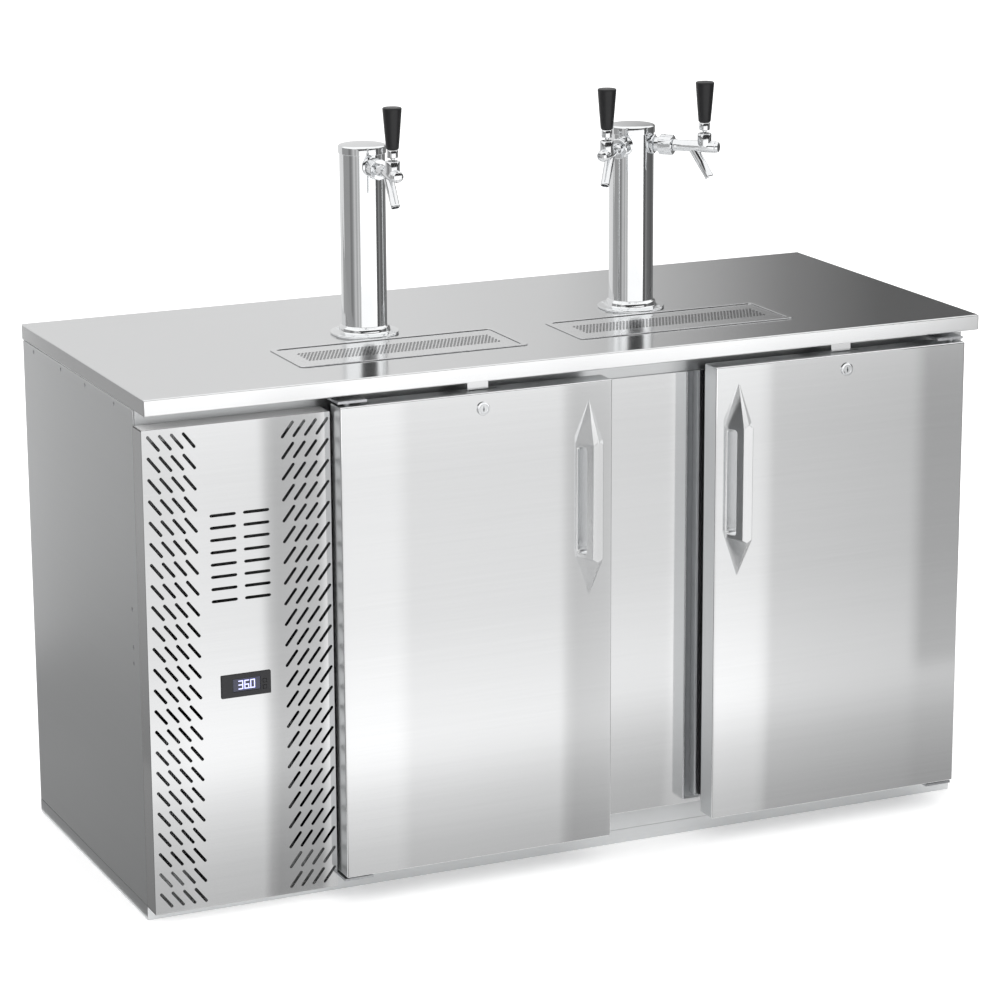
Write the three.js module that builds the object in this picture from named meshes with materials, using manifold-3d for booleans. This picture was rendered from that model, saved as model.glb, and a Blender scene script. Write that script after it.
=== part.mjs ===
// Back-bar kegerator: a stainless two-door keg cabinet with a machine bay on the left,
// two draft towers, three faucets and two recessed drip trays. Millimetres, +Z up.
//
// The pieces are placed in a cabinet frame: X runs right from the worktop's left end,
// Y runs back from the worktop's front edge, Z runs up from the floor. The last lines
// shift the whole group so that the origin is at the middle of the footprint.

import * as THREE from 'three';
import { mergeVertices } from 'three/addons/utils/BufferGeometryUtils.js';
import Module from 'manifold-3d';

const wasm = await Module();
wasm.setup();

// ---- Driving dimensions -------------------------------------------------------------

const WIDTH = 1499;            // worktop and cabinet, left to right (59 in)
const DEPTH = 635;             // worktop, front to back (25 in)
const HEIGHT = 872;            // floor to worktop surface
const TOP_THICKNESS = 27;      // folded front edge of the worktop
const GAP = 0.3;               // clearance left between touching pieces

const FRAME_FRONT = 56;        // front plane of the cabinet frame
const FRAME_DEPTH = 50;        // rails and mullion post, front to back
const BACK = 629;              // outer face of the back wall
const SHEET = 2;               // folded stainless sheet
const TOP_UNDER = HEIGHT - TOP_THICKNESS;

const BASE_HEIGHT = 24;        // base channel under the whole cabinet
const FLOOR = 80;              // keg floor
const CEILING = 796;           // underside of the insulated ceiling
const BACK_WALL = 48;
const RIGHT_WALL = 74;
const SIDE_SHEET = 3;
const BAY_WIDTH = 313;         // machine bay and its grille panel
const PARTITION = 39;          // insulated wall between the bay and the kegs

const DOOR_WIDTH = 476;
const DOOR_BOTTOM = 47;
const DOOR_TOP = 832;
const DOOR_FRONT = -20;        // the doors stand ahead of the worktop's edge
const SHELL_DEPTH = 42;
const LINER_BACK = 42;         // inner face of the door liner
const LINER_INSET = 12;
const DOOR_LEFT = [317, 984];  // left edge of each door
const HINGE_INSET = 18;        // pin axis, in from the hinge edge and back from the front
const PIN_RADIUS = 5;
const PIN_HOLE = PIN_RADIUS + GAP;
const GASKET_WIDTH = 24;

const TOWER_X = [498, 994];
const TOWER_Y = DEPTH / 2;
const TOWER_RADIUS = 38.1;     // 3 in column
const TOWER_HEIGHT = 320;
const SHANK_HEIGHT = 285;      // faucet axis above the worktop
const TRAY_OFFSET = 6;         // the trays sit a little right of their towers
const TRAY = { width: 402, depth: 150, front: 108, wall: 1.6, drop: 22, rim: 8, lip: 1.5 };

// ---- Materials ----------------------------------------------------------------------

const FINISHES = {
  brushed: { color: 0xc6c8c9, roughness: 0.32, metalness: 1 },
  polished: { color: 0xd9dbdc, roughness: 0.08, metalness: 1 },
  liner: { color: 0xb9bcbd, roughness: 0.45, metalness: 1 },
  zinc: { color: 0x9da0a3, roughness: 0.5, metalness: 1 },
  rubber: { color: 0x3a3c3e, roughness: 0.8, metalness: 0 },
  blackPlastic: { color: 0x1b1c1e, roughness: 0.45, metalness: 0 },
  window: { color: 0xb9bce6, roughness: 0.15, metalness: 0 },
  blackPaint: { color: 0x161718, roughness: 0.4, metalness: 0 },
  fins: { color: 0xb3b5b6, roughness: 0.4, metalness: 1 },
};

const kegerator = new THREE.Group();
const cabinet = new THREE.Group();
kegerator.add(cabinet);

function place(name, geometry, finish, parent = cabinet) {
  const mesh = new THREE.Mesh(geometry, new THREE.MeshStandardMaterial(FINISHES[finish]));
  mesh.name = name;
  parent.add(mesh);
  return mesh;
}

// ---- Shape helpers ------------------------------------------------------------------

// A range drawn in at both ends.
function inset([low, high], margin) {
  return [low + margin, high - margin];
}

function box(x, y, z) {
  const geometry = new THREE.BoxGeometry(x[1] - x[0], y[1] - y[0], z[1] - z[0]);
  return geometry.translate((x[0] + x[1]) / 2, (y[0] + y[1]) / 2, (z[0] + z[1]) / 2);
}

// A round bar that starts at `from` and runs `length` along the unit vector `along`.
function bar(radius, length, from, along, sides = 16, endRadius = radius) {
  const geometry = new THREE.CylinderGeometry(endRadius, radius, length, sides);
  geometry.translate(0, length / 2, 0);
  const turn = new THREE.Quaternion().setFromUnitVectors(
    new THREE.Vector3(0, 1, 0),
    new THREE.Vector3(...along).normalize(),
  );
  return geometry.applyQuaternion(turn).translate(...from);
}

// A profile of [radius, height] points turned about +Z.
function turned(profile, sides = 20) {
  const points = profile.map(([radius, height]) => new THREE.Vector2(radius, height));
  return new THREE.LatheGeometry(points, sides).rotateX(Math.PI / 2);
}

function solid(geometry) {
  const bare = geometry.index ? geometry.toNonIndexed() : geometry.clone();
  bare.deleteAttribute('normal');
  bare.deleteAttribute('uv');
  const merged = mergeVertices(bare, 1e-4);
  const corners = merged.index.array;
  const triangles = [];
  for (let i = 0; i < corners.length; i += 3) {
    const [a, b, c] = corners.slice(i, i + 3);
    if (a !== b && b !== c && c !== a) {
      triangles.push(a, b, c);
    }
  }
  return new wasm.Manifold(new wasm.Mesh({
    numProp: 3,
    vertProperties: merged.attributes.position.array,
    triVerts: new Uint32Array(triangles),
  }));
}

function geometryOf(body) {
  const mesh = body.getMesh();
  const geometry = new THREE.BufferGeometry();
  geometry.setAttribute('position', new THREE.BufferAttribute(mesh.vertProperties, 3));
  geometry.setIndex(new THREE.BufferAttribute(mesh.triVerts, 1));
  return geometry;
}

function joined(...pieces) {
  return geometryOf(pieces.map(solid).reduce((whole, piece) => whole.add(piece)));
}

function cut(geometry, ...tools) {
  const holes = tools.map(solid).reduce((whole, tool) => whole.add(tool));
  return geometryOf(solid(geometry).subtract(holes));
}

// ---- Cabinet body -------------------------------------------------------------------

const kegLeft = BAY_WIDTH + PARTITION;
const kegRight = WIDTH - RIGHT_WALL;
const wallFront = FRAME_FRONT + FRAME_DEPTH + GAP;
const backInner = BACK - BACK_WALL;
const railTop = CEILING - 6;   // lower edge of the top rail
const railBottom = FLOOR - 2;  // upper edge of the bottom rail
const wallZ = [BASE_HEIGHT + GAP, TOP_UNDER - GAP];
const stileY = [FRAME_FRONT + GAP, wallFront + 1];
const stileZ = [railBottom + GAP, railTop - GAP];

place('cabinet_base', joined(
  box([0, WIDTH], [FRAME_FRONT, BACK], [0, BASE_HEIGHT]),
  box([kegLeft + GAP, kegRight - GAP], [wallFront, backInner - GAP], [BASE_HEIGHT - 1, FLOOR]),
), 'liner');

place('left_side_panel', box([0, SIDE_SHEET], [FRAME_FRONT + GAP, BACK], wallZ), 'brushed');

// The right wall and the partition each end in a stile that the door gaskets close on.
place('right_wall', joined(
  box([kegRight, WIDTH], [wallFront, BACK], wallZ),
  box([kegRight, WIDTH], stileY, stileZ),
), 'brushed');

const GLAND = { x: 150, z: 96, radius: 8, bore: 3.5, flange: 12, proud: 5 };
const glandHole = bar(GLAND.radius + GAP, BACK_WALL + 2, [GLAND.x, BACK + 1, GLAND.z], [0, -1, 0]);

place('back_wall', cut(
  box([SIDE_SHEET + GAP, kegRight - GAP], [backInner, BACK], wallZ),
  glandHole,
), 'brushed');

place('partition_wall', joined(
  box([BAY_WIDTH, kegLeft], [wallFront, backInner - GAP], wallZ),
  box([BAY_WIDTH, kegLeft], stileY, stileZ),
), 'liner');

const ceilingHoles = TOWER_X.map((x) => bar(32, 80, [x, TOWER_Y, CEILING - 10], [0, 0, 1], 20));

place('ceiling_panel', cut(
  box([kegLeft + GAP, kegRight - GAP], [wallFront, backInner - GAP], [CEILING, TOP_UNDER - GAP]),
  ...ceilingHoles,
), 'liner');

// ---- Front frame --------------------------------------------------------------------

const MULLION_COVER = { x: [777, 1001], z: [54, 814] };
const POST_X = [752, 1026];
const frameY = [FRAME_FRONT + GAP, FRAME_FRONT + FRAME_DEPTH];
const railX = [SIDE_SHEET + GAP, WIDTH];

place('top_rail', box(railX, frameY, [railTop, wallZ[1]]), 'brushed');
place('bottom_rail', box(railX, frameY, [wallZ[0], railBottom]), 'brushed');
place('mullion_post', box(POST_X, frameY, stileZ), 'brushed');
place('mullion_cover', box(
  MULLION_COVER.x,
  [FRAME_FRONT - SHEET, FRAME_FRONT],
  MULLION_COVER.z,
), 'brushed');

// ---- Worktop with its tray cut-outs, tower holes and lock strikes --------------------

const LOCK_OFFSET = 8;         // locks sit a little right of each door's middle
const lockX = DOOR_LEFT.map((left) => left + DOOR_WIDTH / 2 + LOCK_OFFSET);
const STRIKE = { width: 37, drop: 11, thickness: SHEET };
const trayBack = TRAY.front + TRAY.depth;

function trayX(index) {
  const middle = TOWER_X[index] + TRAY_OFFSET;
  return [middle - TRAY.width / 2, middle + TRAY.width / 2];
}

const trayOpenings = TOWER_X.map((_, index) => box(
  inset(trayX(index), TRAY.rim),
  inset([TRAY.front, trayBack], TRAY.rim),
  [TOP_UNDER - 1, HEIGHT + 1],
));
const worktopHoles = TOWER_X.map((x) => bar(32, 40, [x, TOWER_Y, TOP_UNDER - 5], [0, 0, 1], 20));
const strikes = lockX.map((x) => box(
  [x - STRIKE.width / 2, x + STRIKE.width / 2],
  [0, STRIKE.thickness],
  [TOP_UNDER - STRIKE.drop, TOP_UNDER + 5],
));

place('worktop', cut(
  joined(box([0, WIDTH], [0, DEPTH], [TOP_UNDER, HEIGHT]), ...strikes),
  ...trayOpenings,
  ...worktopHoles,
), 'brushed');

// ---- Grille panel in front of the machine bay ----------------------------------------

const PANEL_FRONT = 15;
const PANEL_BOTTOM = 23;
const PANEL_TOP = 820;
const SLOT = { length: 33, width: 5, tilt: 52, columns: 4, rows: 23, pitchX: 19.5, pitchZ: 34.2 };
const BAND_X = [48, 270.5];    // middle of the left and right slot bands
const FIRST_ROW = 798;
const MIDDLE_SLOT = { length: 44, x: [130, 186], rows: 8, pitch: 20, top: 672 };
const DISPLAY = { x: [120, 204], z: [370, 408], proud: 3, margin: 4, reach: 60 };

// One vent slot: a bar-shaped cutter through the front sheet, tilted in the X-Z plane.
function slotCutter(x, z, length, tiltDegrees) {
  const cutter = new THREE.BoxGeometry(length, 3 * SHEET, SLOT.width);
  cutter.rotateY(-THREE.MathUtils.degToRad(tiltDegrees));
  return cutter.translate(x, PANEL_FRONT + SHEET / 2, z);
}

function grilleCutters() {
  const cutters = [];
  BAND_X.forEach((middle, band) => {
    const tilt = band === 0 ? -SLOT.tilt : SLOT.tilt;
    for (let row = 0; row < SLOT.rows; row += 1) {
      for (let column = 0; column < SLOT.columns; column += 1) {
        const x = middle + (column - (SLOT.columns - 1) / 2) * SLOT.pitchX;
        cutters.push(slotCutter(x, FIRST_ROW - row * SLOT.pitchZ, SLOT.length, tilt));
      }
    }
  });
  for (const x of MIDDLE_SLOT.x) {
    for (let row = 0; row < MIDDLE_SLOT.rows; row += 1) {
      const z = MIDDLE_SLOT.top - row * MIDDLE_SLOT.pitch;
      cutters.push(slotCutter(x, z, MIDDLE_SLOT.length, 0));
    }
  }
  return cutters;
}

place('grille_panel', cut(
  box([0, BAY_WIDTH], [PANEL_FRONT, FRAME_FRONT - GAP], [PANEL_BOTTOM, PANEL_TOP]),
  box(
    inset([0, BAY_WIDTH], SHEET),
    [PANEL_FRONT + SHEET, FRAME_FRONT + 1],
    inset([PANEL_BOTTOM, PANEL_TOP], SHEET),
  ),
  box(
    inset(DISPLAY.x, DISPLAY.margin - GAP),
    [PANEL_FRONT - 1, PANEL_FRONT + SHEET + 1],
    inset(DISPLAY.z, DISPLAY.margin - GAP),
  ),
  ...grilleCutters(),
), 'brushed');

// ---- Temperature controller ----------------------------------------------------------

const WINDOW = { x: [139, 186], z: [379, 401], depth: 2.4 };
const KEY = { x: 193, z: [392.5, 382], size: 6, travel: 1 };
const bezelFront = PANEL_FRONT - DISPLAY.proud;

function keyBox(z, grow, front, back) {
  const half = KEY.size / 2 + grow;
  return box([KEY.x - half, KEY.x + half], [front, back], [z - half, z + half]);
}

place('display_housing', cut(
  joined(
    box(DISPLAY.x, [bezelFront, PANEL_FRONT - GAP], DISPLAY.z),
    box(
      inset(DISPLAY.x, DISPLAY.margin),
      [bezelFront + 1, PANEL_FRONT + DISPLAY.reach],
      inset(DISPLAY.z, DISPLAY.margin),
    ),
  ),
  box(WINDOW.x, [bezelFront - 1, bezelFront + WINDOW.depth], WINDOW.z),
  ...KEY.z.map((z) => keyBox(z, GAP, bezelFront - 1, bezelFront + 5)),
), 'blackPlastic');

place('display_window', box(
  inset(WINDOW.x, GAP),
  [bezelFront + 0.4, bezelFront + WINDOW.depth - GAP],
  inset(WINDOW.z, GAP),
), 'window');

['display_key_up', 'display_key_down'].forEach((name, index) => {
  place(name, keyBox(KEY.z[index], 0, bezelFront - KEY.travel, bezelFront + 3), 'blackPlastic');
});

// ---- Drip trays and their lift-out grids ---------------------------------------------

const GRID = { thickness: 1.5, ledge: 6, slots: 17, pitch: 20, slotWidth: 6, slotDepth: 60 };

TOWER_X.forEach((_, index) => {
  const side = index === 0 ? 'left' : 'right';
  const rimX = trayX(index);
  const rimY = [TRAY.front, trayBack];
  const panX = inset(rimX, TRAY.rim + GAP);
  const panY = inset(rimY, TRAY.rim + GAP);
  const ledge = TRAY.wall + GRID.ledge;
  const ledgeTop = HEIGHT - GRID.thickness;
  place(`drip_tray_${side}`, cut(
    joined(
      box(rimX, rimY, [HEIGHT + GAP, HEIGHT + GAP + TRAY.lip]),
      box(panX, panY, [HEIGHT - TRAY.drop, HEIGHT + GAP + 1]),
    ),
    box(inset(panX, TRAY.wall), inset(panY, TRAY.wall), [ledgeTop, HEIGHT + 10]),
    box(inset(panX, ledge), inset(panY, ledge), [HEIGHT - TRAY.drop + TRAY.wall, HEIGHT + 10]),
  ), 'brushed');

  const gridX = inset(panX, TRAY.wall + GAP);
  const gridY = inset(panY, TRAY.wall + GAP);
  const middleX = (gridX[0] + gridX[1]) / 2;
  const middleY = (gridY[0] + gridY[1]) / 2;
  const slots = Array.from({ length: GRID.slots }, (__, slot) => {
    const x = middleX + (slot - (GRID.slots - 1) / 2) * GRID.pitch;
    return box(
      [x - GRID.slotWidth / 2, x + GRID.slotWidth / 2],
      [middleY - GRID.slotDepth / 2, middleY + GRID.slotDepth / 2],
      [HEIGHT - 10, HEIGHT + 10],
    );
  });
  place(`drip_grid_${side}`, cut(
    box(gridX, gridY, [ledgeTop + GAP, HEIGHT + GAP]),
    ...slots,
  ), 'brushed');
});

// ---- Draft towers --------------------------------------------------------------------

const COLUMN_WALL = 2;
const FLANGE = { radius: 57.5, thickness: 4, collar: 43, collarHeight: 14 };
const CAP = { radius: 40, skirt: 13, dome: 4, spigot: 4 };
const SHANK = { radius: 12, flange: 16.5, nut: 17.5 };
const columnTop = TOWER_HEIGHT - CAP.skirt - CAP.dome;

const columnProfile = [
  [32, GAP],
  [FLANGE.radius, GAP],
  [FLANGE.radius, FLANGE.thickness],
  [FLANGE.collar, FLANGE.thickness + 2],
  [FLANGE.collar - 2, FLANGE.collarHeight],
  [TOWER_RADIUS, FLANGE.collarHeight + 1],
  [TOWER_RADIUS, columnTop],
  [TOWER_RADIUS - COLUMN_WALL, columnTop],
  [TOWER_RADIUS - COLUMN_WALL, FLANGE.thickness],
  [32, FLANGE.thickness],
  [32, GAP],
];

const spigotRadius = TOWER_RADIUS - COLUMN_WALL - GAP;
const capProfile = [
  [0, columnTop - CAP.spigot],
  [spigotRadius, columnTop - CAP.spigot],
  [spigotRadius, columnTop + GAP],
  [CAP.radius, columnTop + GAP],
  [CAP.radius, columnTop + CAP.skirt],
  [CAP.radius * 0.8, columnTop + CAP.skirt + CAP.dome * 0.7],
  [0, columnTop + CAP.skirt + CAP.dome],
];

// Faucet headings in degrees, turned from straight ahead towards the right end.
const FAUCETS = [
  { name: 'a', tower: 0, heading: 0 },
  { name: 'b', tower: 1, heading: -45 },
  { name: 'c', tower: 1, heading: 45 },
];

function ahead(headingDegrees) {
  const heading = THREE.MathUtils.degToRad(headingDegrees);
  return [Math.sin(heading), -Math.cos(heading), 0];
}

TOWER_X.forEach((x, index) => {
  const side = index === 0 ? 'left' : 'right';
  const tower = new THREE.Group();
  tower.position.set(x, TOWER_Y, HEIGHT);
  cabinet.add(tower);
  const holes = FAUCETS.filter((faucet) => faucet.tower === index).map((faucet) => bar(
    SHANK.radius + GAP, 2 * TOWER_RADIUS, [0, 0, SHANK_HEIGHT], ahead(faucet.heading), 16,
  ));
  place(`tower_column_${side}`, cut(turned(columnProfile, 24), ...holes), 'polished', tower);
  place(`tower_cap_${side}`, turned(capProfile, 24), 'polished', tower);
});

// ---- Faucets ---------------------------------------------------------------------------

// Each faucet is built pointing along -Y with its shank axis through the local origin.
const FAUCET = {
  shankStart: 18,
  flangeEnd: 43,
  nutStart: 51,
  nutEnd: 75,
  barrelRadius: 10,
  barrelEnd: 149,
  noseEnd: 157,
  leverReach: 130,
  bonnetRadius: 12,
  bonnetTop: 23,
  pocketRadius: 8,
  pocketFloor: 9,
  pivotHeight: 16,
};
const SPOUT = { start: [0, -108, 0], end: [0, -140, -52], radius: 8.2, endRadius: 7.4 };
const FORWARD = [0, -1, 0];
const UP = [0, 0, 1];

// The lever turns on the ball at the foot of this profile; heights are from the pivot.
const LEVER_PROFILE = [
  [0, -6],
  [4.5, -4.5],
  [6, 0],
  [4.5, 4.5],
  [3.5, 6],
  [3.5, 12],
  [8.5, 12],
  [9.2, 15],
  [9.2, 25],
  [5, 26],
  [5, 42],
  [0, 42],
];

const HANDLE_PROFILE = [
  [0, 43],
  [5.3, 43],
  [5.3, 26.3],
  [10, 26.3],
  [10.6, 28],
  [15.8, 92],
  [15, 94],
  [0, 94],
];

const spoutRun = new THREE.Vector3(...SPOUT.end).sub(new THREE.Vector3(...SPOUT.start));

for (const { name, tower, heading } of FAUCETS) {
  const faucet = new THREE.Group();
  faucet.position.set(TOWER_X[tower], TOWER_Y, HEIGHT + SHANK_HEIGHT);
  faucet.rotation.z = THREE.MathUtils.degToRad(heading);
  cabinet.add(faucet);

  const flangeStart = TOWER_RADIUS + GAP;
  place(`faucet_${name}_shank`, joined(
    bar(SHANK.radius, FAUCET.nutEnd - FAUCET.shankStart, [0, -FAUCET.shankStart, 0], FORWARD),
    bar(SHANK.flange, FAUCET.flangeEnd - flangeStart, [0, -flangeStart, 0], FORWARD, 20),
    bar(SHANK.nut, FAUCET.nutEnd - FAUCET.nutStart, [0, -FAUCET.nutStart, 0], FORWARD, 20),
  ), 'polished', faucet);

  const barrelStart = FAUCET.nutEnd + GAP;
  const leverFoot = [0, -FAUCET.leverReach, 0];
  place(`faucet_${name}_body`, cut(
    joined(
      bar(FAUCET.barrelRadius, FAUCET.barrelEnd - barrelStart, [0, -barrelStart, 0], FORWARD),
      bar(FAUCET.barrelRadius, FAUCET.noseEnd - FAUCET.barrelEnd + 1,
        [0, 1 - FAUCET.barrelEnd, 0], FORWARD, 16, 8),
      bar(FAUCET.bonnetRadius, FAUCET.bonnetTop, leverFoot, UP, 20),
      bar(SPOUT.radius, spoutRun.length(), SPOUT.start, spoutRun.toArray(), 14, SPOUT.endRadius),
    ),
    bar(FAUCET.pocketRadius, FAUCET.bonnetTop, [0, -FAUCET.leverReach, FAUCET.pocketFloor], UP),
  ), 'polished', faucet);

  const pivot = new THREE.Group();
  pivot.position.set(0, -FAUCET.leverReach, FAUCET.pivotHeight);
  faucet.add(pivot);
  place(`faucet_${name}_lever`, turned(LEVER_PROFILE, 16), 'polished', pivot);
  place(`faucet_${name}_handle`, turned(HANDLE_PROFILE, 16), 'blackPlastic', pivot);
}

// ---- Doors -----------------------------------------------------------------------------

const PULL = {
  inset: 42, z: 638, halfLength: 166, shoulder: 96, halfBase: 24, halfBar: 8.5, stand: 36,
  gapFront: 3, gapBack: 22, gapHalf: 90,
};
const LOCK = { z: 806.5, flange: 11, barrel: 9.5, proud: 3, reach: 25 };
const CAM = { width: 14, thickness: 3, tail: 9, reach: 34, front: 5.4 };
const PIN_DEPTH = 14;          // depth of the pin holes in a door's top and bottom edges
const shellBack = DOOR_FRONT + SHELL_DEPTH;
const pinY = DOOR_FRONT + HINGE_INSET;

// The pull: a hexagonal boat shape that rises from two points to a flat bar, with a
// finger gap through both flanks. Heights run along Z and it stands out along -Y.
function pullGeometry() {
  const root = [];
  const top = [];
  const outline = [
    [0, PULL.halfLength], [-PULL.halfBase, PULL.shoulder], [-PULL.halfBase, -PULL.shoulder],
    [0, -PULL.halfLength], [PULL.halfBase, -PULL.shoulder], [PULL.halfBase, PULL.shoulder],
  ];
  const crest = [
    [0, PULL.shoulder + 4], [-PULL.halfBar, PULL.shoulder], [-PULL.halfBar, -PULL.shoulder],
    [0, -PULL.shoulder - 4], [PULL.halfBar, -PULL.shoulder], [PULL.halfBar, PULL.shoulder],
  ];
  outline.forEach(([x, z]) => root.push(new THREE.Vector3(x, 0, z)));
  crest.forEach(([x, z]) => top.push(new THREE.Vector3(x, -PULL.stand, z)));
  const sides = outline.length;
  const positions = [...root, ...top].flatMap((point) => point.toArray());
  const faces = [];
  for (let i = 0; i < sides; i += 1) {
    const next = (i + 1) % sides;
    faces.push(i, next, sides + i, next, sides + next, sides + i);
  }
  for (let i = 1; i < sides - 1; i += 1) {
    faces.push(0, i + 1, i);
    faces.push(sides, sides + i, sides + i + 1);
  }
  const geometry = new THREE.BufferGeometry();
  geometry.setAttribute('position', new THREE.Float32BufferAttribute(positions, 3));
  geometry.setIndex(faces);
  const gap = box([-40, 40], [-PULL.gapBack, -PULL.gapFront], [-PULL.gapHalf, PULL.gapHalf]);
  return cut(geometry, gap);
}

DOOR_LEFT.forEach((left, index) => {
  const side = index === 0 ? 'left' : 'right';
  const right = left + DOOR_WIDTH;
  const hinge = index === 0 ? left + HINGE_INSET : right - HINGE_INSET;
  const doorX = [left, right];
  const doorZ = [DOOR_BOTTOM, DOOR_TOP];
  const lock = lockX[index];

  const pinHoles = [
    bar(PIN_HOLE, PIN_DEPTH + 1, [hinge, pinY, DOOR_BOTTOM - 1], UP),
    bar(PIN_HOLE, PIN_DEPTH + 1, [hinge, pinY, DOOR_TOP - PIN_DEPTH], UP),
  ];
  // The pocket lets the cam turn from lying sideways to standing above the door's top.
  const camPocket = box(
    [lock - CAM.tail - 3, lock + CAM.reach + 3],
    [CAM.front - GAP, CAM.front + CAM.thickness + GAP],
    [LOCK.z - CAM.tail - 3, DOOR_TOP + 1],
  );
  const lockHole = bar(
    LOCK.barrel + GAP, LOCK.reach + 1 + GAP, [lock, DOOR_FRONT - 1, LOCK.z], [0, 1, 0],
  );

  place(`door_shell_${side}`, cut(
    box(doorX, [DOOR_FRONT, shellBack], doorZ),
    box(inset(doorX, SHEET), [DOOR_FRONT + SHEET, shellBack + 1], inset(doorZ, SHEET)),
    ...pinHoles, camPocket, lockHole,
  ), 'brushed');

  place(`door_liner_${side}`, cut(
    joined(
      box(
        inset(doorX, SHEET + GAP),
        [DOOR_FRONT + SHEET + GAP, shellBack - GAP],
        inset(doorZ, SHEET + GAP),
      ),
      box(inset(doorX, LINER_INSET), [shellBack - 2, LINER_BACK], inset(doorZ, LINER_INSET)),
    ),
    ...pinHoles, camPocket, lockHole,
  ), 'liner');

  const gasketX = inset(doorX, HINGE_INSET);
  const gasketZ = inset(doorZ, 14);
  const gasketY = [LINER_BACK + GAP, FRAME_FRONT - GAP];
  place(`door_gasket_${side}`, cut(
    box(gasketX, gasketY, gasketZ),
    box(
      inset(gasketX, GASKET_WIDTH),
      [LINER_BACK - 1, FRAME_FRONT + 1],
      inset(gasketZ, GASKET_WIDTH),
    ),
  ), 'rubber');

  const pullX = index === 0 ? right - PULL.inset : left + PULL.inset;
  const pull = pullGeometry().translate(pullX, DOOR_FRONT - GAP, PULL.z);
  place(`door_pull_${side}`, pull, 'polished');

  const keyway = box(
    [lock - 1, lock + 1],
    [DOOR_FRONT - 10, DOOR_FRONT - 1],
    [LOCK.z - 4, LOCK.z + 4],
  );
  place(`lock_cylinder_${side}`, cut(
    joined(
      bar(LOCK.flange, LOCK.proud, [lock, DOOR_FRONT - GAP - LOCK.proud, LOCK.z], [0, 1, 0], 20),
      bar(LOCK.barrel, LOCK.reach + GAP + 1, [lock, DOOR_FRONT - GAP - 1, LOCK.z], [0, 1, 0]),
    ),
    keyway,
  ), 'polished');

  place(`lock_cam_${side}`, box(
    [lock - CAM.tail, lock + CAM.reach],
    [CAM.front, CAM.front + CAM.thickness],
    [LOCK.z - CAM.width / 2, LOCK.z + CAM.width / 2],
  ), 'zinc');

  const BRACKET = { inner: 31, outer: 18.5, front: -12, plate: 4, leg: 4 };
  const towardsDoor = index === 0 ? 1 : -1;
  const bracketX = [hinge - towardsDoor * BRACKET.outer, hinge + towardsDoor * BRACKET.inner];
  bracketX.sort((a, b) => a - b);
  const plateY = [BRACKET.front, FRAME_FRONT];
  const legY = [FRAME_FRONT - BRACKET.leg, FRAME_FRONT];
  place(`hinge_top_${side}`, joined(
    box(bracketX, plateY, [DOOR_TOP + 4, DOOR_TOP + 4 + BRACKET.plate]),
    box(bracketX, legY, [DOOR_TOP + 2, TOP_UNDER - GAP]),
    bar(PIN_RADIUS, 15, [hinge, pinY, DOOR_TOP - 10], UP),
  ), 'zinc');
  place(`hinge_bottom_${side}`, joined(
    box(bracketX, plateY, [DOOR_BOTTOM - 8, DOOR_BOTTOM - 8 + BRACKET.plate]),
    box(bracketX, legY, [BASE_HEIGHT + 1, DOOR_BOTTOM - 4]),
    bar(PIN_RADIUS, 15, [hinge, pinY, DOOR_BOTTOM - 5], UP),
  ), 'zinc');
});

// ---- Machine bay: compressor, condenser, fan and the power-cord gland --------------------

const COIL = { x: [40, 276], z: [44, 284], front: 114, back: 150 };
const SHROUD = { back: 192, hole: 104, arm: 16, motor: 36, motorBack: 234 };
const FAN = { hub: 28, hubLength: 24, blade: 92, bladeWidth: 46, blades: 5, pitch: 32 };
const COMPRESSOR = { x: 158, y: 420, radius: 82, plate: [224, 170], foot: 15, footHeight: 18 };

const coilMiddle = [(COIL.x[0] + COIL.x[1]) / 2, (COIL.z[0] + COIL.z[1]) / 2];

// Hub and pitched blades, turning about +Y, with the hub's middle at the local origin.
function fanGeometry({ hub, hubLength, blade, bladeWidth, blades, pitch }) {
  const pieces = [bar(hub, hubLength, [0, -hubLength / 2, 0], [0, 1, 0], 20)];
  for (let i = 0; i < blades; i += 1) {
    const paddle = box([hub - 4, blade], [-1, 1], [-bladeWidth / 2, bladeWidth / 2]);
    paddle.rotateX(THREE.MathUtils.degToRad(pitch));
    pieces.push(paddle.rotateY((i * 2 * Math.PI) / blades));
  }
  return joined(...pieces);
}

place('condenser_coil', joined(
  box(inset(COIL.x, 6), [COIL.front, COIL.back], inset(COIL.z, 2)),
  box([COIL.x[0], COIL.x[0] + 8], [COIL.front - 4, COIL.back], COIL.z),
  box([COIL.x[1] - 8, COIL.x[1]], [COIL.front - 4, COIL.back], COIL.z),
), 'fins');

const [fanX, fanZ] = coilMiddle;
const motorFront = SHROUD.back - 4;
place('condenser_shroud', joined(
  cut(
    box(COIL.x, [COIL.back + GAP, SHROUD.back], COIL.z),
    bar(SHROUD.hole, 60, [fanX, COIL.back - 5, fanZ], [0, 1, 0], 28),
  ),
  box(COIL.x, [SHROUD.back - 1, SHROUD.back + 6], [fanZ - SHROUD.arm / 2, fanZ + SHROUD.arm / 2]),
  bar(SHROUD.motor, SHROUD.motorBack - motorFront, [fanX, motorFront, fanZ], [0, 1, 0], 20),
), 'blackPaint');

const condenserFan = place('condenser_fan', fanGeometry(FAN), 'zinc');
condenserFan.position.set(fanX, motorFront - 2 - FAN.hubLength / 2, fanZ);

const potProfile = [
  [0, 22],
  [COMPRESSOR.radius * 0.8, 24],
  [COMPRESSOR.radius, 44],
  [COMPRESSOR.radius, 92],
  [COMPRESSOR.radius + 4, 94],
  [COMPRESSOR.radius + 4, 102],
  [COMPRESSOR.radius, 104],
  [COMPRESSOR.radius, 142],
  [COMPRESSOR.radius * 0.85, 168],
  [COMPRESSOR.radius * 0.5, 184],
  [0, 190],
];

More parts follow.
